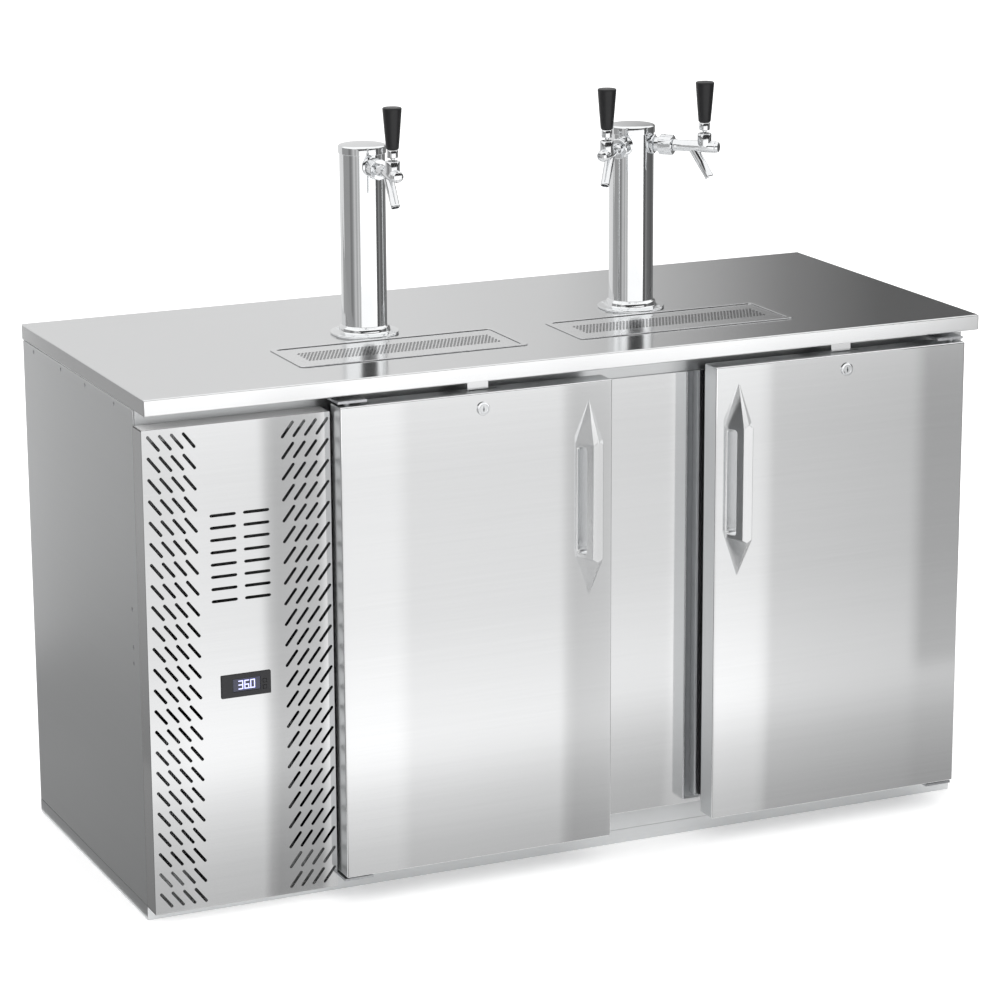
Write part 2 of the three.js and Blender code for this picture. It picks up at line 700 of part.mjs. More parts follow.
const [plateX, plateY] = COMPRESSOR.plate.map((size) => size / 2);
const footPlaces = [[-1, -1], [1, -1], [1, 1], [-1, 1]].map(([x, y]) => [
  x * (plateX - COMPRESSOR.foot),
  y * (plateY - COMPRESSOR.foot),
]);
const compressor = place('compressor', joined(
  turned(potProfile, 24),
  box([-plateX, plateX], [-plateY, plateY], [COMPRESSOR.footHeight, COMPRESSOR.footHeight + 6]),
  box([COMPRESSOR.radius - 8, COMPRESSOR.radius + 34], [-32, 32], [64, 132]),
  ...footPlaces.map(([x, y]) => bar(
    COMPRESSOR.foot, COMPRESSOR.footHeight + 1, [x, y, 0], UP, 12, COMPRESSOR.foot - 3,
  )),
), 'blackPaint');
compressor.position.set(COMPRESSOR.x, COMPRESSOR.y, BASE_HEIGHT + GAP);

const glandLength = BACK_WALL + GLAND.proud + 6;
place('cord_gland', turned([
  [GLAND.bore, -GLAND.proud],
  [GLAND.flange - 2, -GLAND.proud],
  [GLAND.flange, GAP - GLAND.proud + 2],
  [GLAND.flange, -GAP],
  [GLAND.radius, -GAP],
  [GLAND.radius, glandLength - GLAND.proud],
  [GLAND.bore, glandLength - GLAND.proud],
  [GLAND.bore, -GLAND.proud],
], 20).rotateX(Math.PI / 2).translate(GLAND.x, BACK, GLAND.z), 'blackPlastic');

// ---- Evaporator under the insulated ceiling, between the towers ---------------------------

const EVAPORATOR = { x: [616, 876], y: [230, 560], drop: 108, wall: 2, outlet: 46, hood: 8 };
const BLOWER = { hub: 15, hubLength: 16, blade: 42, bladeWidth: 26, blades: 5, pitch: 34 };

const ductZ = [CEILING - GAP - EVAPORATOR.drop, CEILING - GAP];
const ductMiddle = [(EVAPORATOR.x[0] + EVAPORATOR.x[1]) / 2, (ductZ[0] + ductZ[1]) / 2];
const blowerY = EVAPORATOR.y[0] + EVAPORATOR.hood + 20;
const blowerMotor = [ductMiddle[0], blowerY + BLOWER.hubLength / 2 + 2, ductMiddle[1]];

place('evaporator_housing', joined(
  cut(
    box(EVAPORATOR.x, EVAPORATOR.y, ductZ),
    box(
      inset(EVAPORATOR.x, EVAPORATOR.wall),
      [EVAPORATOR.y[0] + EVAPORATOR.hood, EVAPORATOR.y[1] + 1],
      inset(ductZ, EVAPORATOR.wall),
    ),
    bar(EVAPORATOR.outlet, 20, [ductMiddle[0], EVAPORATOR.y[0] - 5, ductMiddle[1]], [0, 1, 0], 24),
  ),
  bar(BLOWER.hub, 26, blowerMotor, [0, 1, 0]),
  box(
    inset(EVAPORATOR.x, 1),
    [blowerMotor[1] + 8, blowerMotor[1] + 12],
    [ductMiddle[1] - 6, ductMiddle[1] + 6],
  ),
), 'liner');

place('evaporator_coil', box(
  inset(EVAPORATOR.x, EVAPORATOR.wall + GAP),
  [blowerMotor[1] + 50, EVAPORATOR.y[1] - 20],
  inset(ductZ, EVAPORATOR.wall + GAP),
), 'fins');

const blower = place('evaporator_fan', fanGeometry(BLOWER), 'blackPlastic');
blower.position.set(ductMiddle[0], blowerY, ductMiddle[1]);

// ---- Origin: middle of the footprint, on the floor ----------------------------------------

const pullReach = DOOR_FRONT - GAP - PULL.stand;
cabinet.position.set(-WIDTH / 2, -(pullReach + DEPTH) / 2, 0);

export default kegerator;
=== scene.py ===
"""A two-door draught beer cooler with two tap towers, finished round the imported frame."""
import math

import bmesh
import bpy
from mathutils import Matrix, Vector


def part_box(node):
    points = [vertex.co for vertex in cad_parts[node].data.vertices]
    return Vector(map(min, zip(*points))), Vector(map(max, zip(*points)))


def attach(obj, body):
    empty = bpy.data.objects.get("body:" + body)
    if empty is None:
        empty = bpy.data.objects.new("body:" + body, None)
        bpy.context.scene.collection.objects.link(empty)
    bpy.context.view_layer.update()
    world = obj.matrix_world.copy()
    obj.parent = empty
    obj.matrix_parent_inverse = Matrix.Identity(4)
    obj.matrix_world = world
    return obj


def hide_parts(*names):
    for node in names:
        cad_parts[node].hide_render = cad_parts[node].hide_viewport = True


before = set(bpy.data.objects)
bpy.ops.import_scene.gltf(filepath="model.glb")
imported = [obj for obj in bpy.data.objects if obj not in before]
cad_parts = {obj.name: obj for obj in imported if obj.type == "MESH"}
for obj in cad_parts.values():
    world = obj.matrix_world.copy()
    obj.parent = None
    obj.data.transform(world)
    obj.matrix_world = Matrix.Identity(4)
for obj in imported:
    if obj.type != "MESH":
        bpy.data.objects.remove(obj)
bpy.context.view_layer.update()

MM = 0.001

# ---- Studio ----------------------------------------------------------------------------
# A pale floor under even light. Upright cards round the cabinet, and flags that lie on the
# floor beside it, are seen only in the steel, where they make its bright and dark bands.

scene = bpy.context.scene
scene.view_settings.view_transform = "Standard"


class Wire:
    """A socket of a node tree that sums, differences and products can be written with."""

    def __init__(self, tree, socket=None):
        self.tree = tree
        self.socket = socket

    def node(self, kind, settings=None, inputs=None, output=0):
        made = self.tree.nodes.new(kind)
        for key, value in (settings or {}).items():
            if key == "stops":
                stops = made.color_ramp.elements
                while len(stops) < len(value):
                    stops.new(1.0)
                for stop, (at, shade) in zip(stops, value):
                    stop.position = at
                    stop.color = (shade, shade, shade, 1.0)
            else:
                setattr(made, key, value)
        for key, value in (inputs or {}).items():
            if isinstance(value, Wire):
                self.tree.links.new(value.socket, made.inputs[key])
            else:
                made.inputs[key].default_value = value
        return Wire(self.tree, made.outputs[output])

    def sum(self, operation, first, second):
        return self.node("ShaderNodeMath", {"operation": operation}, {0: first, 1: second})

    def __add__(self, other):
        return self.sum("ADD", self, other)

    def __sub__(self, other):
        return self.sum("SUBTRACT", self, other)

    def __rsub__(self, other):
        return self.sum("SUBTRACT", other, self)

    def __mul__(self, other):
        return self.sum("MULTIPLY", self, other)

    __radd__ = __add__
    __rmul__ = __mul__

    def stretched(self, scale):
        return self.node("ShaderNodeMapping", None, {"Vector": self, "Scale": scale})

    def noise(self, scale, detail=2.0):
        return self.node("ShaderNodeTexNoise", None,
                         {"Vector": self, "Scale": scale, "Detail": detail})

    def ramp(self, *stops):
        return self.node("ShaderNodeValToRGB", {"stops": stops}, {0: self})

    def between(self, low, high):
        """The colour that lies this far on the way from low to high."""
        return self.node("ShaderNodeMix", {"data_type": "RGBA"},
                         {0: self, 6: (*low, 1.0), 7: (*high, 1.0)}, 2)

    def bump(self, strength, depth):
        return self.node("ShaderNodeBump", None,
                         {"Strength": strength, "Distance": depth, "Height": self})


def finish(name, **fixed):
    """A new material, and a wire that carries its surface's own coordinates."""
    material = bpy.data.materials.new(name)
    material.use_nodes = True
    shader = material.node_tree.nodes["Principled BSDF"]
    for socket, value in fixed.items():
        shader.inputs[socket.replace("_", " ")].default_value = value
    place = Wire(material.node_tree).node("ShaderNodeTexCoord", output="Object")
    return material, place


def feed(material, **wires):
    shader = material.node_tree.nodes["Principled BSDF"]
    for socket, wire in wires.items():
        material.node_tree.links.new(wire.socket, shader.inputs[socket.replace("_", " ")])
    return material


camera = bpy.data.objects.new("camera", bpy.data.cameras.new("camera"))
scene.collection.objects.link(camera)
scene.camera = camera
camera.data.sensor_width = 36.0
camera.data.lens = 127.742
camera.data.clip_end = 200.0
camera.matrix_world = (
    Matrix.Translation((-2.4422, -5.35135, 2.10796))
    @ Matrix.Rotation(-0.425426, 4, "Z")
    @ Matrix.Rotation(math.pi / 2 - 0.257176, 4, "X")
    @ Matrix.Rotation(-0.0045978, 4, "Z")
)

FLOOR_HALF = 60.0
floor_mesh = bpy.data.meshes.new("studio_floor")
floor_mesh.from_pydata(
    [(x * FLOOR_HALF, y * FLOOR_HALF, 0.0) for x, y in ((-1, -1), (1, -1), (1, 1), (-1, 1))],
    [], [(0, 1, 2, 3)],
)
studio_floor = bpy.data.objects.new("studio_floor", floor_mesh)
scene.collection.objects.link(studio_floor)
floor_paint, place = finish(
    "studio_floor", Roughness=0.9, Specular_IOR_Level=0.1, Emission_Color=(1.0, 1.0, 1.0, 1.0),
    Emission_Strength=0.3,
)
feed(floor_paint, Base_Color=place.noise(0.4).between((0.96, 0.96, 0.96), (0.97, 0.97, 0.97)))
floor_mesh.materials.append(floor_paint)

world = bpy.data.worlds.new("studio")
world.use_nodes = True
world.node_tree.nodes["Background"].inputs["Color"].default_value = (1.0, 1.0, 1.0, 1.0)
world.node_tree.nodes["Background"].inputs["Strength"].default_value = 1.18
scene.world = world


def card(name, corners, across, up=((0.0, 1.0), (1.0, 1.0)), strength=1.0, strips=24):
    """A glowing card seen only in reflections, shaded by ramps along both of its sides.

    It is made of narrow strips, so that the ramps stay straight where its sides spread."""
    low_left, low_right, high_right, high_left = (Vector(corner) for corner in corners)
    spots = []
    for strip in range(strips + 1):
        spots += [low_left.lerp(low_right, strip / strips),
                  high_left.lerp(high_right, strip / strips)]
    faces = [(2 * i, 2 * i + 2, 2 * i + 3, 2 * i + 1) for i in range(strips)]
    mesh = bpy.data.meshes.new(name)
    mesh.from_pydata(spots, [], faces)
    sides = mesh.uv_layers.new(name="sides")
    for loop, corner in zip(mesh.loops, sides.data):
        corner.uv = (loop.vertex_index // 2 / strips, loop.vertex_index % 2)
    material = bpy.data.materials.new(name)
    material.use_nodes = True
    tree = material.node_tree
    tree.nodes.clear()
    place = Wire(tree).node("ShaderNodeTexCoord", output="UV")
    side = place.node("ShaderNodeSeparateXYZ", None, {0: place}, 0)
    height = place.node("ShaderNodeSeparateXYZ", None, {0: place}, 1)
    glow = side.ramp(*across) * height.ramp(*up) * strength
    light = glow.node("ShaderNodeEmission", None, {"Strength": glow})
    out = tree.nodes.new("ShaderNodeOutputMaterial")
    tree.links.new(light.socket, out.inputs["Surface"])
    mesh.materials.append(material)
    made = bpy.data.objects.new(name, mesh)
    scene.collection.objects.link(made)
    made.visible_camera = False
    made.visible_diffuse = False
    made.visible_shadow = False
    made.visible_transmission = False
    return made


def upright(x0, y0, x1, y1, bottom, top):
    return [(x0, y0, bottom), (x1, y1, bottom), (x1, y1, top), (x0, y0, top)]


# Seen in the doors and the grille panel: an upright card, and a flag that leads up to it.
DOOR_BANDS = (
    (0.0, 0.50), (0.20, 0.84), (0.224, 0.86), (0.229, 0.94), (0.262, 0.92), (0.267, 0.52),
    (0.290, 0.58), (0.293, 0.98), (0.3195, 0.98), (0.3215, 0.86), (0.397, 0.84), (0.399, 0.60),
    (0.419, 0.64), (0.424, 0.80), (0.466, 0.78), (0.470, 0.94), (0.4955, 0.90), (0.4975, 0.68),
    (0.572, 0.60), (0.577, 0.42), (1.0, 0.42),
)
card(
    "front_card", upright(-1.4, -1.04, 2.9, -1.04, 0.0, 0.68), across=DOOR_BANDS,
    up=((0.0, 1.0), (0.10, 0.97), (0.35, 0.84), (0.75, 0.80), (1.0, 0.88)), strength=1.3,
    strips=96,
)
card(
    "front_flag",
    [(-1.532, -0.32, 0.002), (2.225, -0.32, 0.002), (2.9, -1.04, 0.002), (-1.4, -1.04, 0.002)],
    across=DOOR_BANDS[:-2] + ((0.577, 0.56), (1.0, 0.56)),
    up=((0.0, 0.50), (0.25, 0.56), (0.6, 0.74), (0.9, 0.98), (1.0, 1.0)), strength=1.3,
    strips=96,
)
# Seen in the left side.
card(
    "side_card", upright(-1.0, -0.6, -1.0, 3.2, 0.0, 0.9),
    across=((0.0, 0.30), (1.0, 0.56)), up=((0.0, 0.60), (0.5, 1.0)),
)
card(
    "side_flag",
    [(-1.0, -0.4, 0.002), (-1.0, 3.0, 0.002), (-0.752, 3.0, 0.002), (-0.752, -0.4, 0.002)],
    across=((0.0, 0.20), (0.3, 0.30), (1.0, 0.24)),
)
# Seen in the worktop.
card(
    "back_card", upright(-1.6, 1.2, 2.4, 1.2, 0.0, 2.0),
    across=((0.0, 0.79), (0.44, 0.80), (0.56, 0.70), (0.65, 0.42), (0.70, 0.24), (0.76, 0.13),
            (1.0, 0.10)),
)
# Seen in the towers and faucets. The high cards are seen by way of the worktop.
card(
    "right_card", upright(1.9, -2.1, 1.9, 1.2, 0.0, 1.35),
    across=((0.0, 0.10), (0.25, 0.12), (0.28, 0.30), (0.40, 0.16), (0.75, 0.10), (1.0, 0.30)),
)
card(
    "high_card", upright(-3.2, -2.4, 3.4, -2.4, 1.36, 2.4),
    across=((0.0, 0.06), (1.0, 0.03)),
)
card(
    "high_left_card", upright(-3.2, -2.4, -3.2, 3.0, 1.36, 1.9),
    across=((0.0, 0.06), (0.6, 0.10), (1.0, 0.30)),
)
card(
    "high_right_card", upright(3.4, -2.4, 3.4, 1.5, 1.36, 1.9),
    across=((0.0, 0.03), (1.0, 0.20)),
)
card(
    "left_card", upright(-2.2, -2.7, -2.2, 9.0, 0.0, 1.5),
    across=((0.0, 0.90), (0.04, 0.45), (0.08, 0.70), (0.11, 0.40), (0.15, 0.62), (0.19, 0.28),
            (0.22, 0.20), (0.24, 0.34), (1.0, 0.34)),
    strips=48,
)

# ---- Cabinet walls ---------------------------------------------------------------------
# Foamed walls in brushed stainless sheet on a flat base. The sheets are folded at their
# edges and held by small pan-head screws, four high and three lower on the left end, and
# ten along the back.


def steel(name, tone, roughness, grain, spread=0.6):
    """Brushed stainless: fine scratches along one axis, broader bands and soft smudges."""
    material, place = finish(name, Metallic=1.0, Anisotropic=spread, Anisotropic_Rotation=0.25)
    fine = [1300.0] * 3
    fine[grain] = 7.0
    broad = [150.0] * 3
    broad[grain] = 1.0
    scratches = place.stretched(fine).noise(1.0, 3.0)
    bands = place.stretched(broad).noise(1.0)
    smudges = place.noise(2.6, 4.0)
    wear = scratches * 0.45 + bands * 0.3 + smudges * 0.25
    dark = [0.93 * part for part in tone]
    light = [min(1.0, 1.05 * part) for part in tone]
    return feed(material, Base_Color=wear.between(dark, light),
                Roughness=wear * (0.5 * roughness) + 0.75 * roughness,
                Normal=scratches.bump(0.05, 0.0001))


wall_steel = steel("wall_steel", (0.70, 0.71, 0.715), 0.34, 1)
back_steel = steel("back_steel", (0.66, 0.67, 0.675), 0.36, 0)
inner_steel = steel("inner_steel", (0.58, 0.59, 0.60), 0.42, 2, 0.3)
zinc, place = finish("zinc", Metallic=1.0)
spangle = place.node("ShaderNodeTexVoronoi", None, {"Vector": place, "Scale": 260.0}, "Distance")
feed(zinc, Base_Color=spangle.between((0.46, 0.47, 0.49), (0.64, 0.65, 0.66)),
     Roughness=spangle * 0.2 + 0.28, Normal=spangle.bump(0.08, 0.0002))


def dress(material, *nodes):
    """Give CAD nodes that stay in view a finish."""
    for node in nodes:
        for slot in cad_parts[node].material_slots:
            slot.material = material


def shape(name, form, material, smooth=35.0):
    """Make a piece of a finished bmesh, with edges sharper than an angle kept crisp."""
    mesh = bpy.data.meshes.new(name)
    form.to_mesh(mesh)
    form.free()
    if smooth:
        for face in mesh.polygons:
            face.use_smooth = True
        mesh.set_sharp_from_angle(angle=math.radians(smooth))
    mesh.materials.append(material)
    piece = bpy.data.objects.new(name, mesh)
    scene.collection.objects.link(piece)
    return piece


def fit(piece, body, slot, *nodes):
    """Say what a piece moves with, and which CAD nodes it stands for, which are hidden. The slot
    for its finish is not used.
    """
    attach(piece, body)
    if nodes:
        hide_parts(*nodes)


def slab(form, low, high, radius=0.0, steps=3):
    """Add a box with rounded edges, whose flats stay flat-shaded."""
    low, high = Vector(low), Vector(high)
    middle = Matrix.Translation((low + high) / 2) @ Matrix.Diagonal((*(high - low), 1.0))
    made = bmesh.ops.create_cube(form, size=1.0, matrix=middle)
    if radius:
        edges = {edge for corner in made["verts"] for edge in corner.link_edges}
        rounded = bmesh.ops.bevel(form, geom=list(edges), offset=radius, segments=steps,
                                  profile=0.5, affect="EDGES", clamp_overlap=True)
        for face in rounded["faces"]:
            face.smooth = True


def flat(name, form, material):
    """A piece whose faces keep the smoothing that they were made with."""
    return shape(name, form, material, 0.0)


def plain(piece):
    """Work a piece's modifiers into its mesh."""
    seen = piece.evaluated_get(bpy.context.evaluated_depsgraph_get())
    mesh = bpy.data.meshes.new_from_object(seen)
    piece.modifiers.clear()
    piece.data = mesh
    return piece


def carved(piece, form):
    """Cut the shapes of a bmesh out of a piece."""
    tool = flat("tool", form, piece.data.materials[0])
    cut = piece.modifiers.new("cut", "BOOLEAN")
    cut.operation = "DIFFERENCE"
    cut.solver = "EXACT"
    cut.object = tool
    plain(piece)
    bpy.data.objects.remove(tool)
    return piece


def turn(form, profile, place=Matrix(), steps=64):
    """Spin a profile of (radius, height) pairs round Z, then put it in its place."""
    rings = []
    for radius, height in profile:
        count = steps if radius > 0 else 1
        rings.append([
            form.verts.new(place @ Vector((
                radius * math.cos(2 * math.pi * i / steps),
                radius * math.sin(2 * math.pi * i / steps),
                height,
            )))
            for i in range(count)
        ])
    for low, high in zip(rings, rings[1:]):
        for i in range(steps):
            j = (i + 1) % steps
            if len(low) == 1 and len(high) == 1:
                break
            if len(low) == 1:
                form.faces.new((low[0], high[j], high[i]))
            elif len(high) == 1:
                form.faces.new((low[i], low[j], high[0]))
            else:
                form.faces.new((low[i], low[j], high[j], high[i]))


def scatter_tree():
    """Geometry nodes that set one shape on every point of a mesh, each with its own turn."""
    tree = bpy.data.node_groups.new("repeated", "GeometryNodeTree")
    sockets = tree.interface
    sockets.new_socket("Spots", in_out="INPUT", socket_type="NodeSocketGeometry")
    shape_in = sockets.new_socket("Shape", in_out="INPUT", socket_type="NodeSocketObject")
    finish_in = sockets.new_socket("Finish", in_out="INPUT", socket_type="NodeSocketMaterial")
    sockets.new_socket("Pieces", in_out="OUTPUT", socket_type="NodeSocketGeometry")
    wire = Wire(tree)
    spots = wire.node("NodeGroupInput", output="Spots")
    given = spots.socket.node
    source = wire.node("GeometryNodeObjectInfo", None,
                       {"Object": Wire(tree, given.outputs["Shape"])}, "Geometry")
    angle = wire.node("GeometryNodeInputNamedAttribute", {"data_type": "FLOAT_VECTOR"},
                      {"Name": "angle"}, "Attribute")
    copies = wire.node("GeometryNodeInstanceOnPoints", None,
                       {"Points": spots, "Instance": source, "Rotation": angle})
    real = wire.node("GeometryNodeRealizeInstances", None, {0: copies})
    done = wire.node("GeometryNodeSetMaterial", None,
                     {"Geometry": real, "Material": Wire(tree, given.outputs["Finish"])})
    out = tree.nodes.new("NodeGroupOutput")
    tree.links.new(done.socket, out.inputs[0])
    return tree, shape_in.identifier, finish_in.identifier


scatter, scatter_shape, scatter_finish = scatter_tree()


def repeated(name, form, spots, material):
    """One piece made of a shape repeated at (place, angles) spots."""
    source = shape(name + "_one", form, material)
    mesh = bpy.data.meshes.new(name)
    mesh.from_pydata([spot for spot, _ in spots], [], [])
    angles = mesh.attributes.new("angle", "FLOAT_VECTOR", "POINT")
    for at, (_, angle) in zip(angles.data, spots):
        at.vector = angle
    piece = bpy.data.objects.new(name, mesh)
    scene.collection.objects.link(piece)
    nodes = piece.modifiers.new("repeated", "NODES")
    nodes.node_group = scatter
    nodes[scatter_shape] = source
    nodes[scatter_finish] = material
    plain(piece)
    bpy.data.objects.remove(source)
    return piece


def screw(head=4.0, height=1.6):
    """A pan-head screw with a cross on its head, standing on Z; sizes are in millimetres."""
    form = bmesh.new()
    turn(form, [(0, -0.4 * MM), (head * MM, -0.4 * MM), (head * MM, 0.35 * height * MM),
                (0.85 * head * MM, 0.8 * height * MM), (0.5 * head * MM, height * MM),
                (0.42 * head * MM, 0.5 * height * MM), (0, 0.4 * height * MM)], steps=16)
    for turned in (0, math.pi / 2):
        spin = Matrix.Rotation(turned, 4, "Z")
        bar = (0.95 * head * MM, 0.2 * head * MM, 0.5 * height * MM, 1)
        bmesh.ops.create_cube(form, size=1.0, matrix=spin @ Matrix.Translation(
            (0, 0, 0.55 * height * MM)) @ Matrix.Diagonal(bar))
    return form


dress(back_steel, "cabinet_base")
dress(inner_steel, "partition_wall", "ceiling_panel", "mullion_post")
dress(back_steel, "top_rail", "bottom_rail")

SHEET_ROUND = 1.2 * MM
PAST = 0.01                               # how far a cutter reaches past a face
NOTCH = {"depth": 50.3 * MM, "bottom": 54 * MM, "top": 55 * MM}    # for the front rails
FACE_LEFT = (0.0, -math.pi / 2, 0.0)      # turns +Z to point out of the left end
FACE_BACK = (-math.pi / 2, 0.0, 0.0)

low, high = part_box("left_side_panel")
form = bmesh.new()
slab(form, low, high, SHEET_ROUND)
left_end = flat("left_end_sheet", form, wall_steel)
cabinet_left = low.x
DIMPLE = {"radius": 3.6 * MM, "depth": 1.2 * MM, "cutter": 4.0 * MM}
sunk_x = low.x + DIMPLE["depth"]
left_spots = [((sunk_x, y * MM, 0.836), FACE_LEFT) for y in (278.7, 129.7, 2.2, -144.7)]
left_spots += [((sunk_x, -204.0 * MM, z), FACE_LEFT) for z in (0.515, 0.452, 0.425)]
form = bmesh.new()
for spot, _ in left_spots:
    turn(form, [(0, 0), (DIMPLE["radius"], 0), (DIMPLE["radius"], DIMPLE["cutter"]),
                (0, DIMPLE["cutter"])],
         Matrix.Translation(spot) @ Matrix.Rotation(-math.pi / 2, 4, "Y"), 20)
carved(left_end, form)
fit(left_end, "cabinet", "brushed_steel_skin", "left_side_panel")

low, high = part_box("right_wall")
form = bmesh.new()
slab(form, low, high, 2.0 * MM)
right_end = flat("right_end_wall", form, wall_steel)
form = bmesh.new()
slab(form, (low.x - PAST, low.y - PAST, low.z - PAST),
     (high.x + PAST, low.y + NOTCH["depth"], low.z + NOTCH["bottom"]))
slab(form, (low.x - PAST, low.y - PAST, high.z - NOTCH["top"]),
     (high.x + PAST, low.y + NOTCH["depth"], high.z + PAST))
carved(right_end, form)
fit(right_end, "cabinet", "brushed_steel_skin", "right_wall")

low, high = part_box("back_wall")
form = bmesh.new()
slab(form, low, high, 1.5 * MM)
back_sheet = flat("back_sheet", form, back_steel)
gland_low, gland_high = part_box("cord_gland")
gland_x, _, gland_z = (gland_low + gland_high) / 2
CORD_HOLE = 8.2 * MM
form = bmesh.new()
turn(form, [(0, -0.2), (CORD_HOLE, -0.2), (CORD_HOLE, 0.2), (0, 0.2)],
     Matrix.Translation((gland_x, high.y, gland_z)) @ Matrix.Rotation(math.pi / 2, 4, "X"), 24)
carved(back_sheet, form)
fit(back_sheet, "cabinet", "brushed_steel_skin", "back_wall")

back_spots = []
for x in (-0.70, -0.35, 0.0, 0.35, 0.64):
    for z in (0.06, 0.81):
        back_spots.append(((x, high.y, z), FACE_BACK))
wall_screws = repeated("wall_screws", screw(2.6, 0.9), left_spots + back_spots, zinc)
fit(wall_screws, "cabinet", "zinc_hardware")

# ---- Front frame -----------------------------------------------------------------------
# Rails above and below the doors and a wide post between them, covered by a pressed
# stainless sheet that fills the gap between the two doors.

front_steel = steel("front_steel", (0.79, 0.795, 0.80), 0.08, 0, 0.95)
low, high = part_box("mullion_cover")
form = bmesh.new()
slab(form, low, high, 0.9 * MM)
cover = flat("mullion_sheet", form, front_steel)
fit(cover, "cabinet", "brushed_steel_skin", "mullion_cover")

# ---- Worktop ---------------------------------------------------------------------------
# One brushed stainless top with its edges folded down, two cut-outs for the drip trays,
# and two small strike tabs under the front edge that the door locks catch behind.

top_steel = steel("top_steel", (0.75, 0.755, 0.76), 0.15, 0, 0.0)
# The folded front edge takes a lighter copy of the top's steel, a painted highlight along it.
edge_steel = steel("edge_steel", (0.88, 0.885, 0.89), 0.22, 0, 0.0)
low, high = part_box("worktop")
top_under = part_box("ceiling_panel")[1].z
tray_boxes = {side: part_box("drip_tray_" + side) for side in ("left", "right")}
RIM = 8.0 * MM                    # how far a drip tray's rim lies over its cut-out
DUCT_RADIUS = 32 * MM             # the hole under each tower
CUT_LOW, CUT_HIGH = 0.80, 0.90    # the cutters reach past both faces of the worktop
form = bmesh.new()
slab(form, (low.x, low.y, top_under + 0.3 * MM), high, 2.2 * MM, 4)
top = flat("worktop_sheet", form, top_steel)
form = bmesh.new()
for tray_low, tray_high in tray_boxes.values():
    slab(form, (tray_low.x + RIM, tray_low.y + RIM, CUT_LOW),
         (tray_high.x - RIM, tray_high.y - RIM, CUT_HIGH))
for side in ("left", "right"):
    tower_low, tower_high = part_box("tower_column_" + side)
    tower_x, tower_y, _ = (tower_low + tower_high) / 2
    turn(form, [(0, CUT_LOW), (DUCT_RADIUS, CUT_LOW), (DUCT_RADIUS, CUT_HIGH), (0, CUT_HIGH)],
         Matrix.Translation((tower_x, tower_y, 0)), 48)
carved(top, form)
top.data.materials.append(edge_steel)
for face in top.data.polygons:
    if face.normal.y < -0.7:              # the front edge, in a lighter copy of the top's steel: a painted highlight
        face.material_index = 1
fit(top, "cabinet", "worktop_steel", "worktop")
form = bmesh.new()
for side in ("left", "right"):
    lock_low, lock_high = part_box("lock_cylinder_" + side)
    middle = (lock_low.x + lock_high.x) / 2
    slab(form, (middle - 18.5 * MM, low.y + 0.1 * MM, low.z),
         (middle + 18.5 * MM, low.y + 2.0 * MM, top_under + 3 * MM), 0.8 * MM)
strikes = flat("lock_strikes", form, front_steel)
fit(strikes, "cabinet", "worktop_steel")

# ---- Grille panel ----------------------------------------------------------------------
# A folded stainless cover over the machine bay, punched with slanting vent slots in two
# bands and with two short columns of level slots between them.


def sheet_tree():
    """Geometry nodes that fill a rounded outline round holes on given spots, and thicken it."""
    tree = bpy.data.node_groups.new("punched sheet", "GeometryNodeTree")
    sockets = tree.interface
    sockets.new_socket("Spots", in_out="INPUT", socket_type="NodeSocketGeometry")
    keys = {}
    for label in ("Width", "Height", "Corner", "Hole Length", "Hole Width", "Hole Corner",
                  "Thickness"):
        made = sockets.new_socket(label, in_out="INPUT", socket_type="NodeSocketFloat")
        keys[label] = made.identifier
    made = sockets.new_socket("Finish", in_out="INPUT", socket_type="NodeSocketMaterial")
    keys["Finish"] = made.identifier
    sockets.new_socket("Sheet", in_out="OUTPUT", socket_type="NodeSocketGeometry")
    wire = Wire(tree)
    spots = wire.node("NodeGroupInput", output="Spots")
    given = {label: Wire(tree, spots.socket.node.outputs[label]) for label in keys}

    def rounded(width, height, corner, count):
        flat_outline = wire.node("GeometryNodeCurvePrimitiveQuadrilateral", None,
                                 {"Width": width, "Height": height})
        return wire.node("GeometryNodeFilletCurve", {"mode": "POLY"},
                         {"Curve": flat_outline, "Count": count, "Radius": corner})

    outline = rounded(given["Width"], given["Height"], given["Corner"], 4)
    hole = rounded(given["Hole Length"], given["Hole Width"], given["Hole Corner"], 3)
    angle = wire.node("GeometryNodeInputNamedAttribute", {"data_type": "FLOAT_VECTOR"},
                      {"Name": "angle"}, "Attribute")
    stretch = wire.node("GeometryNodeInputNamedAttribute", {"data_type": "FLOAT_VECTOR"},
                        {"Name": "stretch"}, "Attribute")
    copies = wire.node("GeometryNodeInstanceOnPoints", None,
                       {"Points": spots, "Instance": hole, "Rotation": angle, "Scale": stretch})
    real = wire.node("GeometryNodeRealizeInstances", None, {0: copies})
    join = wire.node("GeometryNodeJoinGeometry")
    for curve in (outline, real):
        tree.links.new(curve.socket, join.socket.node.inputs[0])
    face = wire.node("GeometryNodeFillCurve", None, {"Curve": join})
    raised = wire.node("GeometryNodeExtrudeMesh", {"mode": "FACES"},
                       {"Mesh": face, "Offset Scale": given["Thickness"], "Individual": False})
    under = wire.node("GeometryNodeFlipFaces", None, {0: face})
    both = wire.node("GeometryNodeJoinGeometry")
    for half in (under, raised):
        tree.links.new(half.socket, both.socket.node.inputs[0])
    merged = wire.node("GeometryNodeMergeByDistance", None, {"Geometry": both, "Distance": 1e-6})
    done = wire.node("GeometryNodeSetMaterial", None,
                     {"Geometry": merged, "Material": given["Finish"]})
    out = tree.nodes.new("NodeGroupOutput")
    tree.links.new(done.socket, out.inputs[0])
    return tree, keys


punched, punched_keys = sheet_tree()


